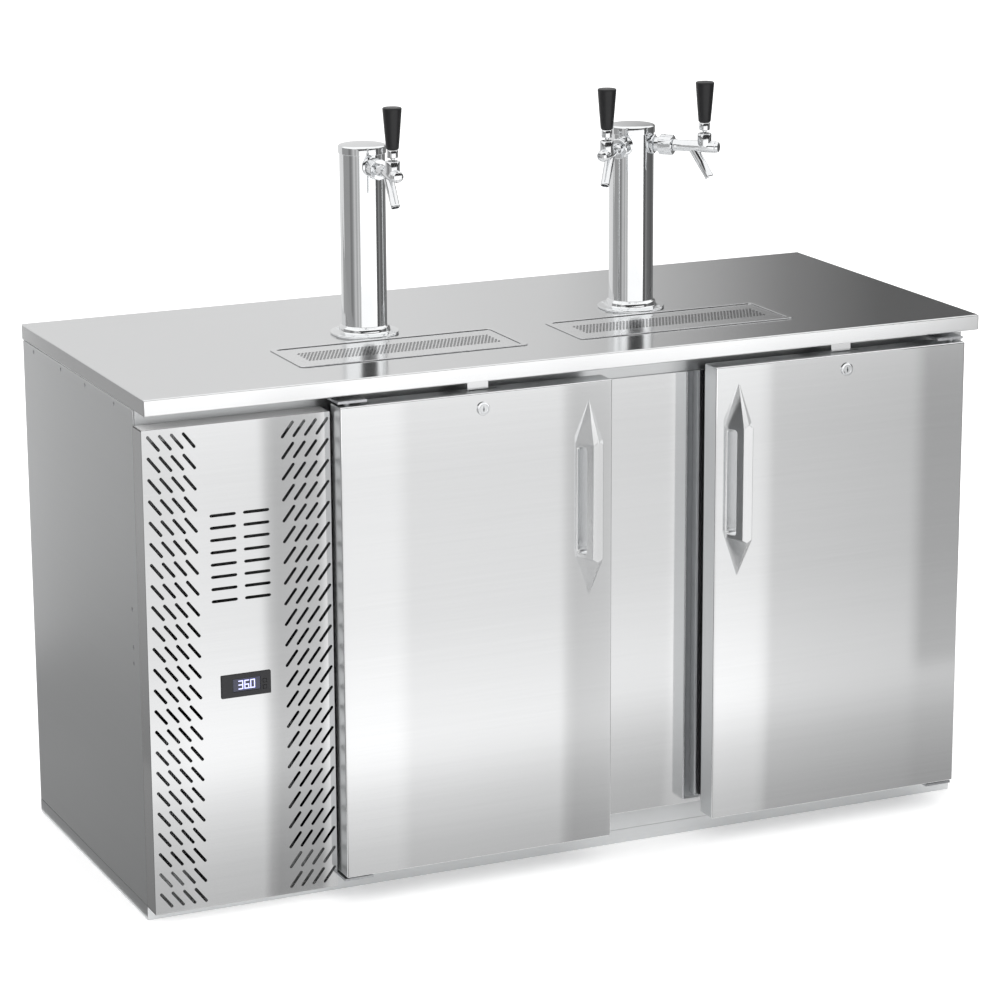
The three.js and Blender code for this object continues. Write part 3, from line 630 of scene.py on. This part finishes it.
def sheet(name, spots, place, material, **sizes):
    """A punched sheet in the XY plane, thickened along Z, then put in its place.

    Each spot is (x, y, angle, stretch)."""
    mesh = bpy.data.meshes.new(name)
    mesh.from_pydata([(x, y, 0.0) for x, y, _, _ in spots], [], [])
    for label, values in (("angle", [(0, 0, spot[2]) for spot in spots]),
                          ("stretch", [(spot[3], 1, 1) for spot in spots])):
        attribute = mesh.attributes.new(label, "FLOAT_VECTOR", "POINT")
        for at, value in zip(attribute.data, values):
            at.vector = value
    piece = bpy.data.objects.new(name, mesh)
    scene.collection.objects.link(piece)
    nodes = piece.modifiers.new("punched", "NODES")
    nodes.node_group = punched
    for label, value in sizes.items():
        nodes[punched_keys[label.replace("_", " ")]] = value
    nodes[punched_keys["Finish"]] = material
    plain(piece)
    piece.data.transform(place)
    return piece


low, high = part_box("grille_panel")
middle = (low + high) / 2
SLOT = {"length": 33.0, "width": 5.0, "tilt": math.radians(52), "columns": 4, "rows": 23,
        "pitch_x": 19.5 * MM, "pitch_z": 34.2 * MM, "top": 0.798}
bands = ((cabinet_left + 48.0 * MM, -1), (cabinet_left + 270.5 * MM, 1))
spots = []
for centre, lean in bands:
    for row in range(SLOT["rows"]):
        for column in range(SLOT["columns"]):
            x = centre + (column - (SLOT["columns"] - 1) / 2) * SLOT["pitch_x"]
            z = SLOT["top"] - row * SLOT["pitch_z"]
            spots.append((x - middle.x, z - middle.z, lean * SLOT["tilt"], 1.0))
LEVEL_SLOT = {"x": (130.0 * MM, 186.0 * MM), "rows": 8, "top": 0.672, "pitch_z": 0.020,
              "stretch": 4 / 3}
for x in LEVEL_SLOT["x"]:
    for row in range(LEVEL_SLOT["rows"]):
        z = LEVEL_SLOT["top"] - row * LEVEL_SLOT["pitch_z"]
        spots.append((cabinet_left + x - middle.x, z - middle.z, 0.0, LEVEL_SLOT["stretch"]))
SKIN = 2.0 * MM
upright_sheet = Matrix.Translation((middle.x, low.y + SKIN, middle.z)) @ Matrix.Rotation(
    math.pi / 2, 4, "X")
grille = sheet("grille_sheet", spots, upright_sheet, front_steel, Width=high.x - low.x,
               Height=high.z - low.z, Corner=0.8 * MM, Hole_Length=SLOT["length"] * MM,
               Hole_Width=SLOT["width"] * MM, Hole_Corner=2.4 * MM, Thickness=SKIN)
housing_low, housing_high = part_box("display_housing")
HOUSING_LAP = 3.7 * MM
form = bmesh.new()
slab(form, (housing_low.x + HOUSING_LAP, low.y - PAST, housing_low.z + HOUSING_LAP),
     (housing_high.x - HOUSING_LAP, low.y + PAST, housing_high.z - HOUSING_LAP))
carved(grille, form)
form = bmesh.new()
form.from_mesh(grille.data)
edge = low.y + 0.6 * MM
for x0, x1 in ((low.x, low.x + SKIN), (high.x - SKIN, high.x)):
    slab(form, (x0, edge, low.z), (x1, high.y, high.z), 0.5 * MM)
for z0, z1 in ((low.z, low.z + SKIN), (high.z - SKIN, high.z)):
    slab(form, (low.x, edge, z0), (high.x, high.y, z1), 0.5 * MM)
form.to_mesh(grille.data)
form.free()
grille.data.materials.append(wall_steel)
for face in grille.data.polygons:
    if face.normal.x < -0.7:              # the return along the left edge
        face.material_index = 1
fit(grille, "cabinet", "brushed_steel_skin", "grille_panel")

# ---- Temperature controller ------------------------------------------------------------
# A black moulded housing snapped into the panel, with a lit window showing three plain
# digits and two small keys that are pressed in.

black_plastic, place = finish("black_plastic", Specular_IOR_Level=0.45)
grain = place.noise(1500.0, 3.0)
feed(black_plastic, Base_Color=grain.between((0.012, 0.012, 0.014), (0.03, 0.03, 0.033)),
     Roughness=grain * 0.15 + 0.38, Normal=grain.bump(0.12, 0.0001))
low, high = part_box("display_housing")
window_low, window_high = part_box("display_window")
form = bmesh.new()
slab(form, low, (high.x, low.y + 2.7 * MM, high.z), 1.6 * MM, 4)
slab(form, (low.x + 4 * MM, low.y + 1 * MM, low.z + 4 * MM),
     (high.x - 4 * MM, high.y, high.z - 4 * MM), 1.0 * MM, 2)
housing = flat("controller_housing", form, black_plastic)
form = bmesh.new()
slab(form, (window_low.x - 0.3 * MM, low.y - PAST, window_low.z - 0.3 * MM),
     (window_high.x + 0.3 * MM, low.y + 2.4 * MM, window_high.z + 0.3 * MM))
for key in ("up", "down"):
    key_low, key_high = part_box("display_key_" + key)
    slab(form, (key_low.x - 0.3 * MM, low.y - PAST, key_low.z - 0.3 * MM),
         (key_high.x + 0.3 * MM, low.y + 5 * MM, key_high.z + 0.3 * MM))
carved(housing, form)
fit(housing, "cabinet", "controller_black", "display_housing")

for key in ("up", "down"):
    key_low, key_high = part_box("display_key_" + key)
    form = bmesh.new()
    slab(form, key_low, key_high, 1.2 * MM, 4)
    fit(flat("key_" + key, form, black_plastic), "key_" + key, "controller_black",
        "display_key_" + key)

lens, place = finish("lens", Roughness=0.12, Coat_Weight=0.4)
cells = place.noise(900.0)
feed(lens, Base_Color=cells.between((0.030, 0.032, 0.060), (0.040, 0.042, 0.075)))
form = bmesh.new()
slab(form, window_low, window_high, 0.5 * MM, 2)
fit(flat("controller_window", form, lens), "cabinet", "display_lens", "display_window")

lit, place = finish("lit_segment", Roughness=0.4, Emission_Strength=1.0)
glow = place.noise(700.0)
feed(lit, Base_Color=glow.between((0.45, 0.47, 0.80), (0.55, 0.56, 0.85)),
     Emission_Color=glow.between((0.48, 0.50, 0.86), (0.62, 0.63, 0.95)))
DIGIT = {"wide": 6.4, "tall": 13.0, "stroke": 1.7, "pitch": 10.0}
SEGMENTS = {  # (left, bottom, right, top) as shares of the digit
    "top": (0, 1, 1, 1), "middle": (0, 0.5, 1, 0.5), "bottom": (0, 0, 1, 0),
    "upper_left": (0, 0.5, 0, 1), "upper_right": (1, 0.5, 1, 1),
    "lower_left": (0, 0, 0, 0.5), "lower_right": (1, 0, 1, 0.5),
}
DIGITS = (
    ("top", "middle", "bottom", "upper_right", "lower_right"),
    ("top", "middle", "bottom", "upper_left", "lower_left", "lower_right"),
    ("top", "bottom", "upper_left", "upper_right", "lower_left", "lower_right"),
)
form = bmesh.new()
centre = (window_low + window_high) / 2
for place_in_row, lit_segments in enumerate(DIGITS):
    left = centre.x + ((place_in_row - 1) * DIGIT["pitch"] - DIGIT["wide"] / 2) * MM
    foot = centre.z - DIGIT["tall"] / 2 * MM
    for segment in lit_segments:
        x0, z0, x1, z1 = SEGMENTS[segment]
        half = DIGIT["stroke"] / 2 * MM
        slab(form, (left + x0 * DIGIT["wide"] * MM - half, window_low.y - 0.2 * MM,
                    foot + z0 * DIGIT["tall"] * MM - half),
             (left + x1 * DIGIT["wide"] * MM + half, window_low.y + 0.1 * MM,
              foot + z1 * DIGIT["tall"] * MM + half), 0.1 * MM, 1)
dot = centre.x + (DIGIT["pitch"] / 2) * MM
slab(form, (dot - 0.8 * MM, window_low.y - 0.2 * MM, centre.z - 7.3 * MM),
     (dot + 0.8 * MM, window_low.y + 0.1 * MM, centre.z - 5.7 * MM), 0.1 * MM, 1)
fit(flat("controller_digits", form, lit), "cabinet", "display_lens")

# ---- Drip trays ------------------------------------------------------------------------
# Shallow pressed stainless pans let into the worktop. Each has a low rim with rounded
# corners, and a flat grid of small square holes that lifts out for cleaning.

tray_steel = steel("tray_steel", (0.78, 0.785, 0.79), 0.20, 0, 0.0)
# The pan under the grid takes a near-black copy of the tray steel: painted shade in the recess
# below the grid.
pan_steel = steel("pan_steel", (0.13, 0.132, 0.135), 0.35, 0, 0.0)
for side in ("left", "right"):
    low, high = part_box("drip_tray_" + side)
    grid_low, grid_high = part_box("drip_grid_" + side)
    middle = (low + high) / 2
    wall = 1.6 * MM
    opening = (grid_high.x - grid_low.x + 0.6 * MM, grid_high.y - grid_low.y + 0.6 * MM)
    rim = sheet(
        "tray_rim_" + side, [(0, 0, 0, 1)],
        Matrix.Translation((middle.x, middle.y, high.z - 1.5 * MM)), tray_steel,
        Width=high.x - low.x, Height=high.y - low.y, Corner=11 * MM, Hole_Length=opening[0],
        Hole_Width=opening[1], Hole_Corner=5 * MM, Thickness=1.5 * MM,
    )
    edge = rim.modifiers.new("edge", "BEVEL")
    edge.width = 0.6 * MM
    edge.segments = 2
    edge.limit_method = "ANGLE"
    edge.angle_limit = math.radians(40)
    plain(rim)
    form = bmesh.new()
    pan_low = (low.x + RIM + 0.3 * MM, low.y + RIM + 0.3 * MM, low.z)
    pan_high = (high.x - RIM - 0.3 * MM, high.y - RIM - 0.3 * MM, high.z - 0.8 * MM)
    slab(form, pan_low, pan_high, 1.4 * MM, 3)
    pan = flat("tray_pan_" + side, form, pan_steel)
    form = bmesh.new()
    slab(form, (pan_low[0] + wall, pan_low[1] + wall, grid_low.z - 0.3 * MM),
         (pan_high[0] - wall, pan_high[1] - wall, high.z + PAST))
    ledge = wall + 6 * MM
    slab(form, (pan_low[0] + ledge, pan_low[1] + ledge, low.z + wall),
         (pan_high[0] - ledge, pan_high[1] - ledge, high.z + PAST), 3 * MM)
    carved(pan, form)
    form = bmesh.new()
    form.from_mesh(pan.data)
    form.from_mesh(rim.data)
    bpy.data.objects.remove(rim)
    form.to_mesh(pan.data)
    form.free()
    pan.data.materials.clear()
    pan.data.materials.append(tray_steel)
    pan.data.materials.append(pan_steel)
    for face in pan.data.polygons:
        if face.center.z < high.z - wall:     # the pan, below its rim, in a near-black copy of the tray steel: painted shade in the recess
            face.material_index = 1
    fit(pan, "cabinet", "worktop_steel", "drip_tray_" + side)

    HOLE_PITCH = 6.2 * MM
    columns, rows = 55, 10
    spots = []
    for row in range(rows):
        for column in range(columns):
            shift = 0.5 * (row % 2)
            spots.append(((column - (columns - 0.5) / 2 + shift) * HOLE_PITCH,
                          (row - (rows - 1) / 2) * HOLE_PITCH - 1.5 * MM, math.pi / 4, 1.0))
    centre = (grid_low + grid_high) / 2
    grid = sheet(
        "tray_grid_" + side, spots, Matrix.Translation((centre.x, centre.y, grid_low.z)),
        tray_steel, Width=grid_high.x - grid_low.x, Height=grid_high.y - grid_low.y,
        Corner=4.5 * MM, Hole_Length=3.8 * MM, Hole_Width=3.8 * MM, Hole_Corner=0.5 * MM,
        Thickness=grid_high.z - grid_low.z,
    )
    fit(grid, "grid_" + side, "worktop_steel", "drip_grid_" + side)

# ---- Draft towers ----------------------------------------------------------------------
# Mirror-polished 3 in tube on a spun base flange with a collar, held by four pan-head screws,
# and closed by a push-in cap with a low dome.

mirror, place = finish("mirror_steel", Metallic=1.0)
haze = place.noise(30.0, 5.0)
hairlines = place.stretched((900.0, 900.0, 14.0)).noise(1.0)
feed(mirror, Base_Color=haze.between((0.80, 0.81, 0.82), (0.86, 0.87, 0.875)),
     Roughness=hairlines * 0.05 + 0.035, Normal=hairlines.bump(0.006, 0.0001))

towers = {}
for side in ("left", "right"):
    low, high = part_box("tower_column_" + side)
    middle = (low + high) / 2
    foot = Matrix.Translation((middle.x, middle.y, 0.0))
    towers[side] = middle
    base = low.z
    form = bmesh.new()
    R = 38.1 * MM
    profile = [(32.0, 0.0), (57.0, 0.0), (57.5, 0.6), (57.5, 3.0), (56.9, 3.6), (47.5, 4.2),
               (44.5, 4.6), (43.4, 5.6), (43.0, 7.2), (42.6, 10.2), (41.8, 12.6), (40.6, 13.8),
               (39.0, 14.3), (38.3, 15.2)]
    profile = [(r * MM, base + z * MM) for r, z in profile]
    profile += [(R, base + 16 * MM), (R, high.z), (R - 2 * MM, high.z),
                (R - 2 * MM, base + 4 * MM), (32 * MM, base + 4 * MM), (32 * MM, base)]
    turn(form, profile, foot, 96)
    bmesh.ops.remove_doubles(form, verts=form.verts, dist=1e-7)
    column = shape("tower_tube_" + side, form, mirror, 40)
    fit(column, "cabinet", "polished_steel", "tower_column_" + side)

    low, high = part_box("tower_cap_" + side)
    form = bmesh.new()
    lip = high.z - 17 * MM
    turn(form, [(0, low.z), (35.8 * MM, low.z), (35.8 * MM, lip), (39.3 * MM, lip),
                (40 * MM, lip + 0.7 * MM), (40 * MM, lip + 11.4 * MM),
                (39.7 * MM, lip + 12.4 * MM), (38.9 * MM, lip + 13.3 * MM),
                (36 * MM, lip + 14.2 * MM), (30 * MM, lip + 15.2 * MM),
                (20 * MM, lip + 16.3 * MM), (10 * MM, high.z - 0.15 * MM), (0, high.z)], foot, 96)
    fit(shape("tower_top_" + side, form, mirror, 40), "cabinet", "polished_steel",
        "tower_cap_" + side)

spots = [
    ((middle.x + 50.5 * MM * math.cos(at), middle.y + 50.5 * MM * math.sin(at), base + 3.7 * MM),
     (0.0, 0.0, at))
    for middle in towers.values()
    for at in [math.radians(45 + 90 * quarter) for quarter in range(4)]
]
fit(repeated("flange_screws", screw(3.4, 1.4), spots, mirror), "cabinet", "polished_steel")

# ---- Faucets ---------------------------------------------------------------------------
# Plated shanks with a wall flange and a notched coupling nut. The forged body has a bonnet
# over the lever's ball, a domed nose and an angled spout. Black handles screw on the levers.

plated, place = finish("plated_brass", Metallic=1.0)
orange_peel = place.noise(220.0, 3.0)
feed(plated, Base_Color=orange_peel.between((0.74, 0.75, 0.76), (0.82, 0.83, 0.84)),
     Roughness=orange_peel * 0.06 + 0.07, Normal=orange_peel.bump(0.03, 0.0002))
handle_black, place = finish("handle_black", Specular_IOR_Level=0.3, Coat_Weight=0.08,
                             Coat_Roughness=0.2)
flow = place.noise(180.0, 4.0)
feed(handle_black, Base_Color=flow.between((0.008, 0.008, 0.009), (0.014, 0.014, 0.015)),
     Roughness=flow * 0.1 + 0.30, Normal=flow.bump(0.02, 0.0002))

FAUCETS = (("a", "left", 0.0), ("b", "right", -45.0), ("c", "right", 45.0))
ALONG = Matrix.Rotation(math.pi / 2, 4, "X")      # turns a profile's +Z to point along -Y
for name, side, heading in FAUCETS:
    shank_low, shank_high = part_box(f"faucet_{name}_shank")
    axis_z = (shank_low.z + shank_high.z) / 2
    faucet = (Matrix.Translation((towers[side].x, towers[side].y, axis_z))
              @ Matrix.Rotation(math.radians(heading), 4, "Z"))
    run = faucet @ ALONG
    form = bmesh.new()
    profile = [(0, 18), (12, 18), (12, 38.4), (15.2, 38.4), (16.5, 39.2), (16.5, 41.2),
               (14.4, 42.6), (12.6, 43), (12, 43.4), (12, 50.6), (15.6, 51), (16.7, 52),
               (16.7, 74), (15.8, 75), (0, 75)]
    turn(form, [(r * MM, h * MM) for r, h in profile], run, 48)
    shank = shape(f"shank_{name}", form, plated, 35)
    fit(shank, "cabinet", "polished_steel", f"faucet_{name}_shank")
    form = bmesh.new()
    slab(form, (-1.3 * MM, -1.7 * MM, -10.4 * MM), (1.3 * MM, 1.3 * MM, 10.4 * MM), 0.6 * MM, 2)
    teeth = []
    for tooth in range(14):
        turned = run @ Matrix.Rotation(2 * math.pi * tooth / 14, 4, "Z")
        spot = turned @ Vector((0, 16.15 * MM, 63 * MM))
        teeth.append((tuple(spot), tuple(turned.to_euler())))
    ring = repeated(f"coupling_teeth_{name}", form, teeth, plated)
    fit(ring, "cabinet", "polished_steel")

    form = bmesh.new()
    profile = [(0, 75.3), (9.2, 75.3), (10, 76), (10, 80), (9.6, 81), (9.6, 104), (10, 106),
               (10, 148.6), (9.6, 149.4), (9.8, 150), (9.8, 151), (9.3, 153), (8.2, 155.4),
               (5.5, 156.6), (0, 157)]
    turn(form, [(r * MM, h * MM) for r, h in profile], run, 48)
    reach = faucet @ Matrix.Translation((0, -130 * MM, 0))
    profile = [(0, 0), (11.4, 0), (12, 3), (12, 21.6), (11.4, 22.6), (10.4, 23), (8, 23),
               (8, 9), (0, 9)]
    turn(form, [(r * MM, h * MM) for r, h in profile], reach, 48)
    start, end = Vector((0, -108 * MM, 0)), Vector((0, -140 * MM, -52 * MM))
    tilt = (end - start).to_track_quat("Z", "Y").to_matrix().to_4x4()
    lean = faucet @ Matrix.Translation(start) @ tilt
    length = (end - start).length
    profile = [(0, 0), (8.2 * MM, 0), (8.1 * MM, 0.5 * length), (7.5 * MM, 0.93 * length),
               (7.8 * MM, 0.94 * length), (7.8 * MM, 0.99 * length), (7.4 * MM, length),
               (6.2 * MM, length), (6.0 * MM, 0.98 * length), (6.0 * MM, 0.55 * length),
               (0, 0.5 * length)]
    turn(form, profile, lean, 40)
    body = shape(f"faucet_body_{name}", form, plated, 35)
    fit(body, "cabinet", "polished_steel", f"faucet_{name}_body")

    pivot = reach @ Matrix.Translation((0, 0, 16 * MM))
    form = bmesh.new()
    ball = [(6 * math.sin(t), -6 * math.cos(t)) for t in [math.pi * i / 12 for i in range(10)]]
    profile = ball + [(3.5, 5.6), (3.5, 12), (8.1, 12), (8.8, 12.7), (9.2, 15), (9.2, 24.2),
                      (8.6, 25.2), (5.2, 26), (5, 26.2), (5, 42), (0, 42)]
    turn(form, [(r * MM, h * MM) for r, h in profile], pivot, 40)
    lever = shape(f"lever_{name}", form, plated, 35)
    fit(lever, f"tap_{name}", "polished_steel", f"faucet_{name}_lever")
    form = bmesh.new()
    profile = [(0, 43), (5.3, 43), (5.3, 26.3), (9.6, 26.3), (10, 26.7), (10.6, 28.4),
               (11.6, 40), (13.0, 56), (14.4, 74), (15.5, 88), (15.8, 91.6), (15.7, 92.8),
               (15.0, 93.7), (14.2, 94), (0, 94)]
    turn(form, [(r * MM, h * MM) for r, h in profile], pivot, 48)
    grip = shape(f"handle_{name}", form, handle_black, 40)
    fit(grip, f"tap_{name}", "handle_black", f"faucet_{name}_handle")

# ---- Doors -----------------------------------------------------------------------------
# Foam-filled doors in brushed stainless, with a pressed inner liner and a ribbed magnetic
# gasket. They carry six-sided boat-shaped pulls and key locks whose cams catch the strikes.

door_steel = steel("door_steel", (0.80, 0.805, 0.81), 0.07, 0, 0.95)
pull_steel = steel("pull_steel", (0.90, 0.905, 0.91), 0.20, 2, 0.3)
liner_steel = steel("liner_steel", (0.62, 0.63, 0.64), 0.38, 2, 0.3)
rubber, place = finish("gasket_rubber", Specular_IOR_Level=0.35)
bloom = place.noise(90.0, 5.0)
feed(rubber, Base_Color=bloom.between((0.035, 0.035, 0.038), (0.075, 0.075, 0.08)),
     Roughness=bloom * 0.2 + 0.55, Normal=bloom.bump(0.05, 0.0003))


def framed(form, profile, low, high):
    """Sweep a closed (inward, back) profile round an upright rectangle with mitred corners."""
    rings = []
    for x, z, dx, dz in ((low.x, low.z, 1, 1), (high.x, low.z, -1, 1),
                         (high.x, high.z, -1, -1), (low.x, high.z, 1, -1)):
        rings.append([form.verts.new((x + dx * inward, low.y + back, z + dz * inward))
                      for inward, back in profile])
    for ring, following in zip(rings, rings[1:] + rings[:1]):
        for i in range(len(profile)):
            j = (i + 1) % len(profile)
            form.faces.new((ring[i], ring[j], following[j], following[i]))


DOOR_SKIN = 2.0 * MM
LOCK_HOLE = 9.8 * MM
CAM_ROOM, SLACK = 3 * MM, 0.3 * MM        # beside the lock's cam, and before and behind it
FIELD = {"edge": 12 * MM, "border": 62 * MM, "sunk": 7 * MM}    # the liner's raised border
KEYWAY = ((0.8, 4.2), (1.6, 1.2))         # half widths and half heights of its two slots, mm
for side in ("left", "right"):
    body = "door_" + side
    low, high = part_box("door_shell_" + side)
    liner_low, liner_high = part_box("door_liner_" + side)
    lock_low, lock_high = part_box("lock_cylinder_" + side)
    cam_low, cam_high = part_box("lock_cam_" + side)
    lock = (lock_low + lock_high) / 2
    form = bmesh.new()
    slab(form, low, high, 2.2 * MM, 4)
    shell = flat("door_skin_" + side, form, door_steel)
    form = bmesh.new()
    slab(form, (low.x + DOOR_SKIN, low.y + DOOR_SKIN, low.z + DOOR_SKIN),
         (high.x - DOOR_SKIN, high.y + PAST, high.z - DOOR_SKIN), 0.6 * MM, 2)
    carved(shell, form)
    form = bmesh.new()
    turn(form, [(0, -0.02), (LOCK_HOLE, -0.02), (LOCK_HOLE, 0.02), (0, 0.02)],
         Matrix.Translation((lock.x, low.y, lock.z)) @ Matrix.Rotation(math.pi / 2, 4, "X"), 40)
    slab(form, (cam_low.x - CAM_ROOM, cam_low.y - SLACK, high.z - PAST),
         (cam_high.x + CAM_ROOM, cam_high.y + SLACK, high.z + PAST))
    carved(shell, form)
    shell.data.materials.append(wall_steel)
    for face in shell.data.polygons:
        if abs(face.normal.y) < 0.3:      # the duller returns round the door's edge
            face.material_index = 1
    fit(shell, body, "door_steel", "door_shell_" + side)

    form = bmesh.new()
    slab(form, (liner_low.x, liner_low.y, liner_low.z),
         (liner_high.x, high.y - SLACK, liner_high.z), 0.8 * MM, 2)
    liner = flat("door_core_" + side, form, liner_steel)
    form = bmesh.new()
    slab(form, (low.x + FIELD["edge"], high.y - 2 * MM, low.z + FIELD["edge"]),
         (high.x - FIELD["edge"], liner_high.y, high.z - FIELD["edge"]), 3.0 * MM, 4)
    field = flat("door_field_" + side, form, liner_steel)
    form = bmesh.new()
    slab(form, (low.x + FIELD["border"], liner_high.y - FIELD["sunk"], low.z + FIELD["border"]),
         (high.x - FIELD["border"], liner_high.y + 0.02, high.z - FIELD["border"]), 5.0 * MM, 4)
    carved(field, form)
    form = bmesh.new()
    form.from_mesh(liner.data)
    form.from_mesh(field.data)
    form.to_mesh(liner.data)
    form.free()
    bpy.data.objects.remove(field)
    form = bmesh.new()
    turn(form, [(0, -0.04), (LOCK_HOLE, -0.04), (LOCK_HOLE, 0.0), (0, 0.0)],
         Matrix.Translation((lock.x, low.y + 26 * MM, lock.z)) @ Matrix.Rotation(
             -math.pi / 2, 4, "X"), 40)
    slab(form, (cam_low.x - CAM_ROOM, cam_low.y - SLACK, lock.z - 12 * MM),
         (cam_high.x + CAM_ROOM, cam_high.y + SLACK, high.z + PAST))
    carved(liner, form)
    fit(liner, body, "liner_steel", "door_liner_" + side)

    low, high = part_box("door_gasket_" + side)
    deep = (high.y - low.y) / MM
    profile = [(0.4, 0.4), (2.0, 0.0), (22.0, 0.0), (23.6, 0.4), (23.6, 2.4), (20.6, 4.0),
               (22.6, 5.6), (20.6, 7.2), (22.6, 8.8), (22.2, deep - 2.4), (21.0, deep),
               (3.0, deep), (1.8, deep - 2.4), (1.4, 8.8), (3.4, 7.2), (1.4, 5.6), (3.4, 4.0),
               (0.4, 2.4)]
    form = bmesh.new()
    framed(form, [(a * MM, b * MM) for a, b in profile], low, high)
    bmesh.ops.recalc_face_normals(form, faces=form.faces)
    fit(shape("gasket_" + side, form, rubber, 50), body, "gasket_rubber", "door_gasket_" + side)

    low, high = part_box("door_pull_" + side)
    middle = (low + high) / 2
    shoulder, base_half, bar_half = 96 * MM, 24 * MM, 8.5 * MM
    half = (high.z - low.z) / 2
    root = [(0, half), (-base_half, shoulder), (-base_half, -shoulder), (0, -half),
            (base_half, -shoulder), (base_half, shoulder)]
    crest = [(0, shoulder + 4 * MM), (-bar_half, shoulder), (-bar_half, -shoulder),
             (0, -shoulder - 4 * MM), (bar_half, -shoulder), (bar_half, shoulder)]
    form = bmesh.new()
    foot_ring = [form.verts.new((middle.x + x, high.y, middle.z + z)) for x, z in root]
    top_ring = [form.verts.new((middle.x + x, low.y, middle.z + z)) for x, z in crest]
    form.faces.new(foot_ring)
    form.faces.new(top_ring[::-1])
    for i in range(6):
        j = (i + 1) % 6
        form.faces.new((foot_ring[i], top_ring[i], top_ring[j], foot_ring[j]))
    bmesh.ops.recalc_face_normals(form, faces=form.faces)
    pull = flat("pull_" + side, form, pull_steel)
    form = bmesh.new()
    slab(form, (middle.x - 0.04, high.y - 22 * MM, middle.z - 90 * MM),
         (middle.x + 0.04, high.y - 3 * MM, middle.z + 90 * MM), 5 * MM, 4)
    carved(pull, form)
    edge = pull.modifiers.new("edge", "BEVEL")
    edge.width = 0.7 * MM
    edge.segments = 2
    edge.limit_method = "ANGLE"
    edge.angle_limit = math.radians(25)
    plain(pull)
    fit(pull, body, "pull_steel", "door_pull_" + side)

    out = Matrix.Translation((lock.x, lock_high.y, lock.z)) @ ALONG
    depth = (lock_high.y - lock_low.y) / MM
    form = bmesh.new()
    profile = [(0, 0), (9.1, 0), (9.5, 0.4), (9.5, depth - 3.2), (11, depth - 3.0),
               (11, depth - 1.2), (10.3, depth - 0.3), (9.2, depth), (8.0, depth),
               (7.6, depth - 0.8), (7.0, depth - 0.9), (6.6, depth - 0.3), (0, depth - 0.3)]
    turn(form, [(r * MM, h * MM) for r, h in profile], out, 48)
    barrel = shape("lock_barrel_" + side, form, plated, 30)
    for wide, tall in KEYWAY:
        form = bmesh.new()
        slab(form, (lock.x - wide * MM, lock_low.y - PAST, lock.z - tall * MM),
             (lock.x + wide * MM, lock_low.y + 8 * MM, lock.z + tall * MM))
        carved(barrel, form)
    fit(barrel, "lock_" + side, "polished_steel", "lock_cylinder_" + side)
    form = bmesh.new()
    slab(form, cam_low, cam_high, 1.2 * MM, 3)
    fit(flat("lock_tongue_" + side, form, zinc), "lock_" + side, "zinc_hardware",
        "lock_cam_" + side)

# ---- Hinges ----------------------------------------------------------------------------
# Folded zinc-plated brackets on the front frame, each with a pin that stands in the top or
# bottom of a door. Their CAD nodes stay in view.

dress(zinc, "hinge_top_left", "hinge_top_right", "hinge_bottom_left", "hinge_bottom_right")

# ---- Machine bay and cold unit ---------------------------------------------------------
# A black compressor, a finned condenser with its shroud and fan, and a finned evaporator
# with its fan in a steel housing under the ceiling.

machine_black, place = finish("machine_black", Specular_IOR_Level=0.4)
peel = place.noise(320.0, 3.0)
dust = place.noise(9.0, 5.0)
feed(machine_black, Base_Color=dust.between((0.015, 0.015, 0.016), (0.04, 0.04, 0.04)),
     Roughness=peel * 0.15 + 0.35, Normal=peel.bump(0.06, 0.0003))
# Coil fins: light stripes for the fin edges, and dark stripes between them that are painted shade
# in the gaps.
fins_and_gap_shade, place = finish("coil_fins", Metallic=1.0)
edges = place.node("ShaderNodeTexWave", {"bands_direction": "X"},
                   {"Vector": place, "Scale": 90.0, "Distortion": 0.0})
feed(fins_and_gap_shade, Base_Color=edges.between((0.16, 0.165, 0.17), (0.66, 0.67, 0.68)),
     Roughness=edges * 0.2 + 0.35, Normal=edges.bump(0.5, 0.0005))
fan_grey, place = finish("fan_grey")
mottle = place.noise(260.0, 3.0)
feed(fan_grey, Base_Color=mottle.between((0.045, 0.047, 0.05), (0.08, 0.082, 0.085)),
     Roughness=mottle * 0.2 + 0.45, Normal=mottle.bump(0.05, 0.0002))
dress(machine_black, "compressor", "condenser_shroud")
dress(fins_and_gap_shade, "condenser_coil", "evaporator_coil")
dress(fan_grey, "condenser_fan", "evaporator_fan")
dress(liner_steel, "evaporator_housing")
dress(black_plastic, "cord_gland")
